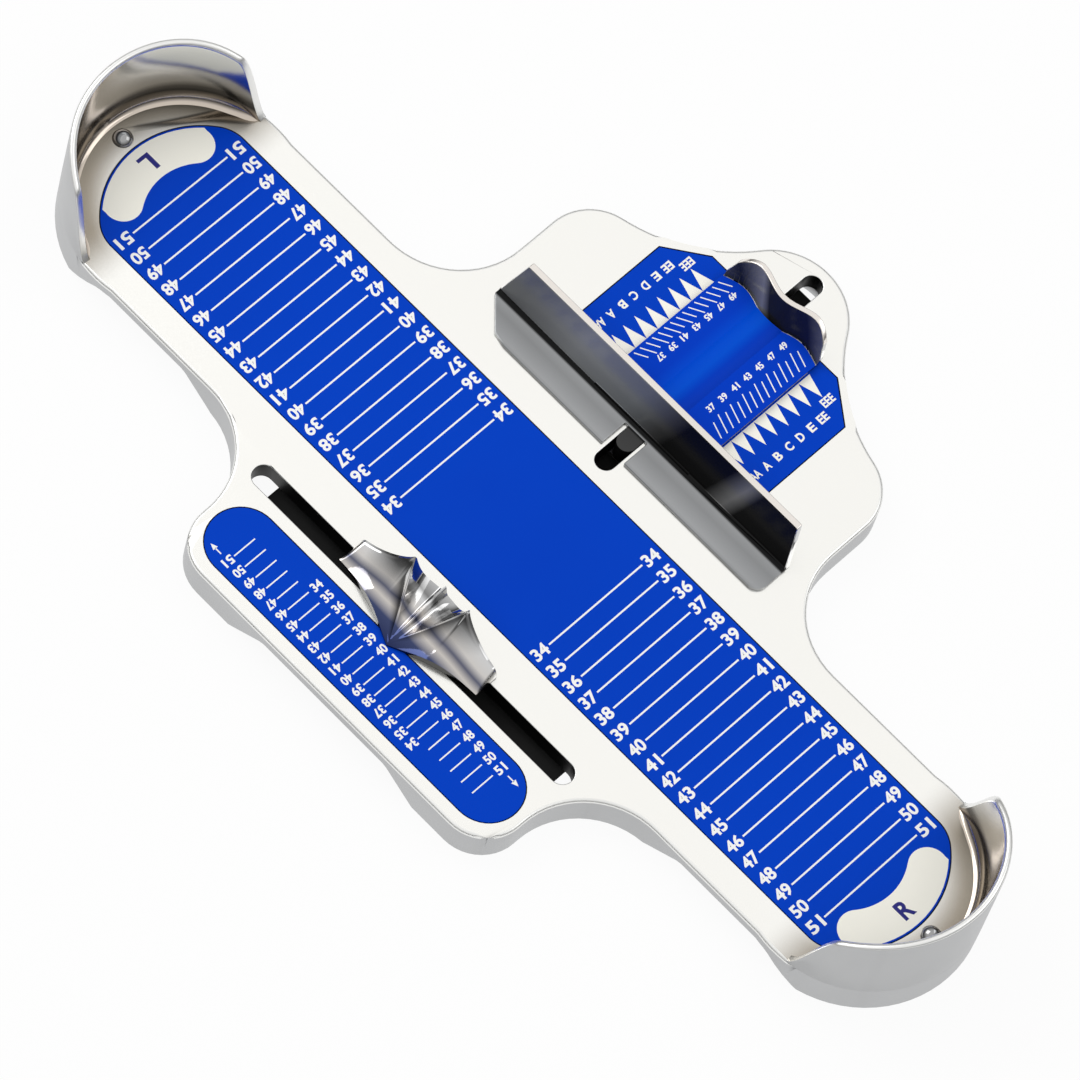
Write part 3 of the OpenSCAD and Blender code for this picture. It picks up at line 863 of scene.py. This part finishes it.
@dataclass
class WidthBar:
    """The chromed bar, its carriage and its finger grip.

    Attributes:
        foot_top: height above the deck up to which the bar is a flat foot.
        grip_y: where the grip starts, from the scale's centre line.
        level: the least Z that a rim's normal has.
        edge_round: rounding of its edges.
        sharp: least turn of an edge that is rounded, in degrees.
        shortest: shortest edge that is rounded.
    """

    foot_top: float = 1.7
    grip_y: float = 100.0
    level: float = 0.6
    edge_round: float = 0.35
    sharp: float = 40.0
    shortest: float = 1.0

    def zone(self, face: bmesh.types.BMFace) -> BarZone:
        """Finds which finish a face has.

        Args:
            face: a face of the bar.

        Returns:
            The zone that it belongs to.
        """
        centre, normal = face.calc_center_median(), face.normal
        if centre.z / MM < DECK_TOP + self.foot_top:
            return BarZone.FLAT
        # faces turned up get the rim's painted highlight
        if normal.z > self.level:
            return BarZone.RIM
        if normal.y >= 0:
            return BarZone.BACK
        return BarZone.GRIP if centre.y / MM - STRIP_Y > self.grip_y else BarZone.WALL

    def build(self) -> None:
        """Builds the bar over its CAD node."""
        bm = joined_copy("width_bar")
        flattened(bm)
        for face in bm.faces:
            face.material_index = self.zone(face).value
        weigh_edges(bm, self.sharp, self.shortest, lambda edge: 1.0)
        finishes = (FOOT_CHROME, WALL_CHROME, GRIP_CHROME, BAR_RIM_PAINTED_HIGHLIGHT, BACK_CHROME)
        piece = finished("width_bar_cast", bm, Body.WIDTH, finishes, "width_bar")
        rounded(piece, self.edge_round)


@dataclass
class ArchPointer:
    """The chromed pointer that slides along the arch scale.

    Attributes:
        half: half its length.
        base: height of its underside above the table.
        horn: distance of a horn from the middle, and its height.
        horn_y: distance of the horns from the scale's centre line.
        shoe: back and front of its ends, as distances from that line.
        shoe_h: height of its ends.
        knuckle: share of a wing that its rounded end takes.
        climb: power by which a wing rises to its horn.
        tip_y: distance of its tip from that line.
        tip_rise: how far the ridge ends above the tip's edge.
        taper: power by which the front edge is drawn out to the tip.
        fall: power by which the ridge falls from a horn to the tip.
        bow: how much nearer the back edge runs in the middle.
        hollow_h: height of the hollow's floor at the back.
        hollow_climb: power by which the hollow's floor rises to the horns.
        rib: height of the rib in the hollow, and half its width.
        land: width of the flat along the back edge.
        edge_h: height of the front edge at the tip, and its rise under each wing.
        dish: power of the front's fall at an end, and what is added at a horn.
        columns: faces along its length.
        back_rows: faces from the back edge to the ridge.
        front_rows: faces from the ridge to the front edge.
    """

    half: float = 28.4
    base: float = 12.8
    horn: Pair = (11.2, 14.0)
    horn_y: float = 34.6
    shoe: Pair = (38.4, 46.9)
    shoe_h: float = 4.2
    knuckle: float = 0.12
    climb: float = 1.9
    tip_y: float = 55.4
    tip_rise: float = 0.2
    taper: float = 1.6
    fall: float = 1.3
    bow: float = 2.0
    hollow_h: float = 4.6
    hollow_climb: int = 5
    rib: Pair = (8.8, 0.8)
    land: float = 0.8
    edge_h: Pair = (0.6, 2.2)
    dish: Pair = (0.75, 1.2)
    columns: int = 120
    back_rows: int = 14
    front_rows: int = 16

    def back(self, x: float) -> Pair:
        """Finds the back edge.

        Args:
            x: distance from the middle.

        Returns:
            Its distance from the centre line and its height above the base.
        """
        horn_x, horn_h = self.horn
        if x < horn_x:
            u = x / horn_x
            rib_h, rib_half = self.rib
            rib = (rib_h - self.hollow_h) * math.exp(-((x / rib_half) ** 2))
            rise = (horn_h - self.hollow_h) * u**self.hollow_climb
            return self.horn_y - self.bow * (1 - u * u), self.hollow_h + rise + rib
        up = share_of(x, self.half, horn_x)
        y = self.horn_y + (self.shoe[0] - self.horn_y) * math.sqrt(1 - up)
        left = 1 - min(1.0, up / self.knuckle)
        knuckle = self.shoe_h * math.sqrt(max(0.0, 1 - left**2))
        return y, max(self.edge_h[0], knuckle) + (horn_h - self.shoe_h) * up**self.climb

    def ridge(self, x: float) -> Pair:
        """Finds the ridge from a horn to the tip, or the land's edge outside the horns.

        Args:
            x: distance from the middle.

        Returns:
            Its distance from the centre line and its height above the base.
        """
        horn_x, horn_h = self.horn
        y, z = self.back(x)
        if x >= horn_x:
            return y + self.land, z
        out = x / horn_x
        tip = self.tip_y - self.land
        low = self.edge_h[0] + self.tip_rise
        return max(tip + (self.horn_y - tip) * out, y + self.land), low + (horn_h - low) * out**self.fall

    def front(self, x: float) -> Pair:
        """Finds the front edge, drawn out to a tip and arched under each wing.

        Args:
            x: distance from the middle.

        Returns:
            Its distance from the centre line and its height above the base.
        """
        share = x / self.half
        y = self.shoe[1] + (self.tip_y - self.shoe[1]) * (1 - share) ** self.taper
        return y, self.edge_h[0] + self.edge_h[1] * math.sin(math.pi * share) ** 2

    def point(self, x: float, row: int) -> Vector:
        """Finds a point of the skin.

        Args:
            x: distance from the middle, of either sign.
            row: 0 at the back edge, up to the front edge.

        Returns:
            The point in the part's frame, in metres.
        """
        (yb, zb), (yr, zr), (yf, zf) = (edge(abs(x)) for edge in (self.back, self.ridge, self.front))
        if row <= self.back_rows:
            t = row / self.back_rows
            y, z = yb + (yr - yb) * t, zb + (zr - zb) * t
        else:
            t = (row - self.back_rows) / self.front_rows
            power = self.dish[0] + self.dish[1] * share_of(abs(x), self.half, self.horn[0])
            y, z = yr + (yf - yr) * t, zf + (zr - zf) * (1 - t) ** power
        return placed(x, -y, self.base + max(z, self.edge_h[0]))

    def build(self) -> None:
        """Builds the pointer over its CAD node."""
        bm = bmesh.new()
        rows = self.back_rows + self.front_rows
        bmesh.ops.create_grid(bm, x_segments=self.columns, y_segments=rows, size=1)
        for vert in bm.verts:
            row = round((1 - vert.co.y) / 2 * rows)
            vert.co = self.point(vert.co.x * self.half, row)
        made = bmesh.ops.extrude_edge_only(bm, edges=open_edges(bm))["geom"]
        for vert in (v for v in made if isinstance(v, bmesh.types.BMVert)):
            vert.co.z = self.base * MM
        # the walls down to the base take the near black of painted shade
        for face in (f for f in made if isinstance(f, bmesh.types.BMFace)):
            face.material_index = PointerZone.SIDE.value
            for edge in face.edges:
                edge.smooth = False
        for face in bm.faces:
            face.smooth = True
        bmesh.ops.holes_fill(bm, edges=open_edges(bm))
        bmesh.ops.recalc_face_normals(bm, faces=bm.faces)
        finishes = (POINTER_CHROME, POINTER_SIDE_PAINTED_SHADE)
        finished("arch_pointer_cast", bm, Body.ARCH, finishes, "arch_pointer")


# ---------------------------------------------------------------- printing


@dataclass
class Print:
    """Marks printed in one colour on one plate.

    Attributes:
        name: the piece's name.
        finish: the ink.
        level: height of the plate's face above the table.
        body: the body that it rides on.
        slot: the record's material slot of the plate; not used.
        bold: how much heavier figures are, as a share of their height.
    """

    name: str
    finish: Finish
    level: float = DECK_TOP
    body: Body = Body.BASE
    slot: str = "blue_enamel"
    bold: float = 0.03

    def __post_init__(self) -> None:
        """Starts with no marks."""
        self.marks = bmesh.new()
        self.glyphs: dict[tuple[str, Pair], bpy.types.Mesh] = {}

    def flat_mesh(self, curve: bpy.types.Curve) -> bpy.types.Mesh:
        """Turns a flat curve or a text into a mesh.

        Args:
            curve: the curve's data, which is used up.

        Returns:
            A closed mesh, as thick as the ink.
        """
        curve.extrude = PRINT_T * MM / 2
        holder = bpy.data.objects.new("mark", curve)
        bpy.context.scene.collection.objects.link(holder)
        graph = bpy.context.evaluated_depsgraph_get()
        mesh = bpy.data.meshes.new_from_object(holder.evaluated_get(graph))
        bpy.data.objects.remove(holder)
        bpy.data.curves.remove(curve)
        return mesh

    def stamp(self, mesh: bpy.types.Mesh, x: float, y: float, angle: float) -> None:
        """Adds a copy of a mark.

        Args:
            mesh: the mark, about its own middle.
            x: its middle, along the foot.
            y: its middle, from the scale's centre line.
            angle: its turn, in degrees.
        """
        before = len(self.marks.verts)
        self.marks.from_mesh(mesh)
        self.marks.verts.ensure_lookup_table()
        turn = Matrix.Rotation(math.radians(angle), 4, "Z")
        place = Matrix.Translation(placed(x, y, self.level))
        bmesh.ops.transform(self.marks, matrix=place @ turn, verts=self.marks.verts[before:])

    def text(self, words: str, x: float, y: float, angle: float, size: Pair) -> None:
        """Prints a number or a letter.

        Args:
            words: what is printed.
            x: its middle, along the foot.
            y: its middle, from the scale's centre line.
            angle: direction of its baseline, in degrees from +X.
            size: height of its figures, and width of the whole.
        """
        height, width = size
        if (words, size) not in self.glyphs:
            curve = bpy.data.curves.new("mark", "FONT")
            curve.body = words
            curve.size = height * MM
            curve.offset = self.bold * height * MM
            curve.resolution_u = 3
            mesh = self.flat_mesh(curve)
            xs = [v.co.x for v in mesh.vertices]
            ys = [v.co.y for v in mesh.vertices]
            middle = Vector(((min(xs) + max(xs)) / 2, (min(ys) + max(ys)) / 2, 0))
            mesh.transform(Matrix.Translation(-middle))
            grow = Vector((width * MM / (max(xs) - min(xs)), height * MM / (max(ys) - min(ys)), 1))
            mesh.transform(Matrix.Diagonal(grow).to_4x4())
            self.glyphs[words, size] = mesh
        self.stamp(self.glyphs[words, size], x, y, angle)

    def shape(self, points: list[Pair]) -> None:
        """Prints a filled outline given by points about the scale's centre line."""
        curve = bpy.data.curves.new("mark", "CURVE")
        curve.dimensions = "2D"
        curve.fill_mode = "BOTH"
        line = curve.splines.new("POLY")
        line.points.add(len(points) - 1)
        for point, (x, y) in zip(line.points, points):
            point.co = (x * MM, y * MM, 0, 1)
        line.use_cyclic_u = True
        self.stamp(self.flat_mesh(curve), 0, 0, 0)

    def line(self, start: Pair, end: Pair, width: float) -> None:
        """Prints a straight line of a given width between two points."""
        run = Vector(end) - Vector(start)
        made = bmesh.ops.create_cube(self.marks, size=1)["verts"]
        size = Matrix.Diagonal((run.length * MM, width * MM, PRINT_T * MM, 1))
        turn = Matrix.Rotation(math.atan2(run.y, run.x), 4, "Z")
        middle = (Vector(start) + Vector(end)) / 2
        place = Matrix.Translation(placed(middle.x, middle.y, self.level))
        bmesh.ops.transform(self.marks, matrix=place @ turn @ size, verts=made)

    def build(self) -> None:
        """Makes the marks one piece."""
        bmesh.ops.remove_doubles(self.marks, verts=self.marks.verts, dist=1e-7)
        finished(self.name, self.marks, self.body, (self.finish,))


@dataclass
class LengthScale:
    """The size lines of the length plate, with a heel band at each end.

    Attributes:
        sizes: first and last size.
        first_x: distance of the first size's line from the middle.
        pitch: distance between sizes, two thirds of a centimetre.
        half_line: half the length of a line.
        line_w: width of a line.
        number_y: distance of the numbers from the centre line.
        number: height and width of a number.
        arc_x: centre of the plate's round end.
        band_radii: inner and outer radius of a heel band.
        cap_angle: angle at which the middle of its round end is, in degrees.
        cap_over: how far its round end stands out over its width.
        edge_angle: angle at which its outer edge ends.
        letter_r: distance of its letter from the centre of the round end.
        letter: height and width of its letter.
        steps: sides of each of its arcs.
    """

    sizes: tuple[int, int] = (34, 51)
    first_x: float = 31.0
    pitch: float = 20 / 3
    half_line: float = 19.3
    line_w: float = 0.55
    number_y: float = 22.9
    number: Pair = (4.2, 5.5)
    arc_x: float = 132.9
    band_radii: Pair = (19.3, 31.0)
    cap_angle: float = 35.7
    cap_over: float = 0.2
    edge_angle: float = 42.2
    letter_r: float = 25.2
    letter: Pair = (6.0, 4.5)
    steps: int = 16

    def arc(self, radius: float, start: float, end: float, centre: Pair = (0.0, 0.0)) -> list[Pair]:
        """The points of an arc between two angles, in degrees, about a centre."""
        turns = [math.radians(start + (end - start) * i / self.steps) for i in range(self.steps + 1)]
        return [(centre[0] + radius * math.cos(a), centre[1] + radius * math.sin(a)) for a in turns]

    def band(self, side: int) -> list[Pair]:
        """Draws the heel band at one end.

        Args:
            side: 1 for the right foot's end, -1 for the left's.

        Returns:
            The band's outline.
        """
        inner, outer = self.band_radii
        middle, cap = (inner + outer) / 2 + self.cap_over, (outer - inner) / 2 + self.cap_over
        angle = math.radians(self.cap_angle)
        x, y = middle * math.cos(angle), middle * math.sin(angle)
        first, last = self.cap_angle + 45, self.cap_angle + 180
        outline = self.arc(outer, -self.edge_angle, self.edge_angle)
        outline += self.arc(cap, first, last, (x, y))
        outline += self.arc(inner, self.cap_angle, -self.cap_angle)[1:-1]
        outline += self.arc(cap, -last, -first, (x, -y))
        return [(side * (self.arc_x + x), y) for x, y in outline]

    def build(self) -> None:
        """Prints the scale."""
        ink = Print("length_print", WHITE_INK)
        band = Print("heel_band_print", CREAM_INK)
        mark = Print("heel_mark_print", NAVY_INK, DECK_TOP + PRINT_T)
        first, last = self.sizes
        for side, foot in ((1, "R"), (-1, "L")):
            for size in range(first, last + 1):
                x = side * (self.first_x + (size - first) * self.pitch)
                ink.line((x, -self.half_line), (x, self.half_line), self.line_w)
                for y in (-self.number_y, self.number_y):
                    ink.text(str(size), x, y, side * 90, self.number)
            band.shape(self.band(side))
            mark.text(foot, side * (self.arc_x + self.letter_r), 0, side * 90, self.letter)
        for layer in (ink, band, mark):
            layer.build()


@dataclass
class ArchScale:
    """The lines and the two rows of numbers of the arch plate.

    Attributes:
        sizes: first and last size.
        count: number of lines.
        pitch: distance between them.
        line_y: both ends of a line, from the centre line.
        line_w: width of a line.
        rows: where the inner and the outer row of numbers are.
        number: height and width of a number.
        arrow: start, neck and tip of an arrow, from the middle.
        head: half the width of an arrow's head.
        shaft_w: width of an arrow's shaft.
        lap: how far the head reaches over the shaft.
    """

    sizes: tuple[int, int] = (34, 51)
    count: int = 23
    pitch: float = 4.5
    line_y: Pair = (-60.6, -69.0)
    line_w: float = 0.42
    rows: Pair = (-57.4, -71.4)
    number: Pair = (3.0, 3.6)
    arrow: Triple = (52.5, 55.0, 56.9)
    head: float = 0.9
    shaft_w: float = 0.4
    lap: float = 0.2

    def build(self) -> None:
        """Prints the scale."""
        ink = Print("arch_print", WHITE_INK)
        inner, outer = self.rows
        first, last = self.sizes
        numbered = last - first + 1
        spare = self.count - numbered
        for i in range(self.count):
            x = (i - (self.count - 1) / 2) * self.pitch
            ink.line((x, self.line_y[0]), (x, self.line_y[1]), self.line_w)
            if i < numbered:
                ink.text(str(last - i), x, outer, -90, self.number)
            if i >= spare:
                ink.text(str(first + i - spare), x, inner, 90, self.number)
        start, neck, tip = self.arrow
        for side, y in ((-1, outer), (1, inner)):
            ink.line((side * start, y), (side * neck, y), self.shaft_w)
            wing = side * (neck - self.lap)
            ink.shape([(side * tip, y), (wing, y + self.head), (wing, y - self.head)])
        ink.build()


@dataclass
class WidthScale:
    """The lettered triangles beside the slide, and the slide's own lines.

    Attributes:
        letters: the widths, from the narrowest.
        first_y: where the first triangle is, from the scale's centre line.
        pitch: distance between triangles, three sixteenths of an inch.
        base_x: where a triangle's base is, from the middle.
        tip_x: where its tip is.
        letter_x: where the letters are.
        letter_h: height of a letter.
        letter_w: width of one letter, and the factor and power of what more add.
        last_letter: place of the last one, in the plate's cut corner.
        line_count: number of lines on each side of the slide.
        line_pitch: distance between them.
        first_line_y: where the first is.
        line_w: width of a line.
        short: length of a line with no number, as a share of the others'.
        first_size: the size before the first number.
        number: height and width of a number.
        slide_sides: for each side its sign, the outer and inner end of its lines,
            how far they slant, and where its numbers are.
    """

    letters: tuple[str, ...] = ("AA", "A", "B", "C", "D", "E", "EE", "EEE")
    first_y: float = 65.17
    pitch: float = 4.7625
    base_x: float = 20.0
    tip_x: float = 27.8
    letter_x: float = 32.65
    letter_h: float = 2.9
    letter_w: Triple = (2.3, 1.3, 0.8)
    last_letter: Pair = (29.6, 98.9)
    line_count: int = 15
    line_pitch: float = 2.545
    first_line_y: float = 65.1
    line_w: float = 0.36
    short: float = 0.85
    first_size: int = 36
    number: Pair = (2.2, 2.8)
    slide_sides: tuple[tuple[int, float, float, float, float], ...] = (
        (-1, 18.7, 14.2, 2.6, 12.6),
        (1, 18.0, 11.9, 2.2, 8.9),
    )

    def triangles(self) -> None:
        """Prints the triangles and their letters on both plates."""
        half = self.pitch / 2
        single, more, power = self.letter_w
        for side, plate in ((-1, "left"), (1, "right")):
            ink = Print("width_print_" + plate, CREAM_INK)
            base, tip = side * self.base_x, side * self.tip_x
            for i, letter in enumerate(self.letters):
                x, y = self.letter_x, self.first_y + i * self.pitch
                ink.shape([(base, y - half), (tip, y), (base, y + half)])
                if letter == self.letters[-1]:
                    x, y = self.last_letter
                width = single + more * (len(letter) - 1) ** power
                ink.text(letter, side * x, y, side * 90, (self.letter_h, width))
            ink.build()

    def slide(self) -> None:
        """Prints the size lines and their numbers on the slide plate."""
        ink = Print("slide_print", WHITE_INK, SLIDE_TOP, Body.WIDTH)
        for side, outer, inner, slant, number_x in self.slide_sides:
            for i in range(self.line_count):
                y = self.first_line_y + i * self.line_pitch
                numbered = i % 2 == 1
                end = 1.0 if numbered else self.short
                x = outer + (inner - outer) * end
                ink.line((side * outer, y), (side * x, y + slant * end), self.line_w)
                if numbered:
                    ink.text(str(self.first_size + i), side * number_x, y + slant, side * 90, self.number)
        ink.build()

    def build(self) -> None:
        """Prints both parts of the scale."""
        self.triangles()
        self.slide()


# ---------------------------------------------------------------- the rest


@dataclass
class PlainNodes:
    """CAD nodes that are shown as they are, with their finish.

    Attributes:
        finishes: each finish with the nodes that have it.
    """

    finishes: tuple[tuple[Finish, tuple[str, ...]], ...] = (
        (BLUE_ENAMEL, ("length_plate", "arch_plate", "width_plate_left", "width_plate_right")),
        (SLIDE_ENAMEL, ("slide_plate",)),
        (BRIGHT_STUD, ("heel_studs",)),
        (DARK_GUIDE, ("width_guide", "arch_guide")),
        (SPRING_STEEL, ("width_spring", "arch_spring")),
        (ZINC_STEEL, ("width_retainer", "arch_retainer", "width_washers", "arch_washers")),
        (ZINC_STEEL, ("width_screws", "arch_screws")),
    )

    def build(self) -> None:
        """Dresses the nodes."""
        for finish, nodes in self.finishes:
            for node in nodes:
                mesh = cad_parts[node].data
                mesh.materials.clear()
                mesh.materials.append(finish.material())
                LOG.info("%s: %s", node, finish.name)


@dataclass
class Studio:
    """The floor, the light and the camera.

    Attributes:
        azimuth: the camera's direction from the object, in degrees from +X.
        elevation: its height above the horizon, in degrees.
        roll: its turn about its own axis, in degrees.
        distance: its distance from the point it looks at.
        target: that point.
        lens: focal length.
        sensor: width of the film.
        clip: nearest and farthest distance seen, in metres.
        shade: boxes of the floor under the deck where a shadow is painted dark and
        left with no glow, as the least and the most of X and of Y.
        glow: how much of the floor's white is its own.
        floor_greys: the floor's grey in the painted shadow and outside it.
        floor_half: half the floor's length, in metres.
        sky_from: Z of the directions where the sky is dimmest and brightest.
        sky: its strength there.
        lamps: name, power, size and place of each lamp, in metres.
    """

    azimuth: float = -61.662
    elevation: float = 63.937
    roll: float = 18.744
    distance: float = 2517.376
    target: Triple = (5.561, -22.406, 12.7)
    lens: float = 288.33
    sensor: float = 36.0
    clip: Pair = (0.1, 20.0)
    shade: tuple[tuple[float, float, float, float], ...] = ((-60, 60, -98, 66), (-12, 12, 60, 100))
    glow: float = 0.93
    floor_greys: Pair = (0.03, 0.85)
    floor_half: float = 3.0
    sky_from: Pair = (0.15, 0.75)
    sky: Pair = (0.16, 1.18)
    lamps: tuple[tuple[str, float, float, Triple], ...] = (
        ("key", 10.0, 1.2, (-1.3, -0.1, 1.4)),
        ("fill", 3.0, 1.0, (0.9, 0.9, 1.2)),
    )

    def seen(self, tree: Tree, *rays: str) -> Socket:
        """Adds the mask of some kinds of ray.

        Args:
            tree: the node tree to add to.
            rays: names of Light Path's outputs.

        Returns:
            The socket that is 1 for those rays.
        """
        path = tree.nodes.new("ShaderNodeLightPath")
        mask = path.outputs[rays[0]]
        for ray in rays[1:]:
            mask = maths(tree, "MAXIMUM", mask, path.outputs[ray])
        return mask

    def lit(self, tree: Tree) -> Socket:
        """Adds the mask of the floor outside the painted shadow under the deck.

        Args:
            tree: the floor's node tree.

        Returns:
            The socket that is 0 in the painted shadow's boxes and 1 elsewhere.
        """
        along, across, _ = parted(tree)
        mask = 0.0
        for box in self.shade:
            inside = 1.0
            for place, low, high in ((along, *box[:2]), (across, *box[2:])):
                near = maths(tree, "COMPARE", place, (low + high) / 2 * MM, (high - low) / 2 * MM)
                inside = maths(tree, "MULTIPLY", inside, near)
            mask = maths(tree, "MAXIMUM", mask, inside)
        return maths(tree, "SUBTRACT", 1.0, mask)

    def blended(self, tree: Tree, share: Socket, first: Socket, second: Socket, output: str) -> None:
        """Blends two shaders into the output.

        Args:
            tree: the node tree.
            share: how much the second counts.
            first: the shader below.
            second: the shader above.
            output: the output node's name.
        """
        mix = tree.nodes.new("ShaderNodeMixShader")
        for into, given in zip(mix.inputs, (share, first, second)):
            feed(tree, into, given)
        feed(tree, tree.nodes[output].inputs["Surface"], mix.outputs[0])

    def floor(self) -> None:
        """Lays a pale floor that keeps the object's shadow, with a shadow painted under the deck."""
        bm = bmesh.new()
        bmesh.ops.create_grid(bm, x_segments=1, y_segments=1, size=self.floor_half)
        floor = shown("floor", bm)
        paint = bpy.data.materials.new("floor_white")
        paint.use_nodes = True
        tree = paint.node_tree
        lit = self.lit(tree)
        # dark is the grey of the shadow painted under the deck
        dark, pale = ((value, value, value, 1) for value in self.floor_greys)
        shader = tree.nodes["Principled BSDF"]
        feed(tree, shader.inputs["Base Color"], mixed(tree, lit, dark, pale))
        feed(tree, shader.inputs["Roughness"], 0.9)
        feed(tree, shader.inputs["Specular IOR Level"], 0.0)
        white = maths(tree, "MULTIPLY", self.seen(tree, "Is Camera Ray", "Is Glossy Ray"), lit)
        share = maths(tree, "MULTIPLY", white, self.glow)
        glow = tree.nodes.new("ShaderNodeEmission")
        self.blended(tree, share, shader.outputs[0], glow.outputs[0], "Material Output")
        floor.data.materials.append(paint)

    def light(self) -> None:
        """Hangs a bright ceiling over a greyer horizon, and two soft lamps."""
        world = bpy.data.worlds.new("studio")
        bpy.context.scene.world = world
        world.use_nodes = True
        tree = world.node_tree
        sky, white = (tree.nodes.new("ShaderNodeBackground") for _ in range(2))
        height = parted(tree, "Generated")[2]
        feed(tree, sky.inputs["Strength"], ranged(tree, height, self.sky_from, *self.sky))
        seen = self.seen(tree, "Is Camera Ray")
        self.blended(tree, seen, sky.outputs[0], white.outputs[0], "World Output")
        for name, power, size, spot in self.lamps:
            lamp = bpy.data.lights.new(name, "AREA")
            lamp.energy = power
            lamp.size = size
            holder = bpy.data.objects.new(name, lamp)
            holder.location = spot
            holder.rotation_euler = (-Vector(spot)).to_track_quat("-Z", "Y").to_euler()
            bpy.context.scene.collection.objects.link(holder)

    def camera(self) -> None:
        """Sets the camera at the photograph's view."""
        turn, rise, roll = (math.radians(a) for a in (self.azimuth, self.elevation, self.roll))
        back = Vector((math.cos(rise) * math.cos(turn), math.cos(rise) * math.sin(turn), math.sin(rise)))
        right = Vector((-math.sin(turn), math.cos(turn), 0))
        up = back.cross(right)
        across = right * math.cos(roll) + up * math.sin(roll)
        upright = up * math.cos(roll) - right * math.sin(roll)
        lens = bpy.data.cameras.new("photo_view")
        lens.lens = self.lens
        lens.sensor_width = self.sensor
        lens.clip_start, lens.clip_end = self.clip
        view = bpy.data.objects.new("photo_view", lens)
        bpy.context.scene.collection.objects.link(view)
        axes = Matrix((across, upright, back)).transposed().to_4x4()
        place = (Vector(self.target) + back * self.distance) * MM
        view.matrix_world = Matrix.Translation(place) @ axes
        bpy.context.scene.camera = view

    def build(self) -> None:
        """Sets up the whole studio."""
        self.floor()
        self.light()
        self.camera()
        bpy.context.scene.view_settings.view_transform = "Standard"


def main() -> None:
    """Builds every piece of the object, then the studio round it."""
    logging.basicConfig(level=logging.INFO, format="%(name)s %(message)s")
    PlainNodes().build()
    Casting().build()
    WidthBar().build()
    ArchPointer().build()
    LengthScale().build()
    ArchScale().build()
    WidthScale().build()
    Studio().build()


if __name__ == "__main__":
    main()
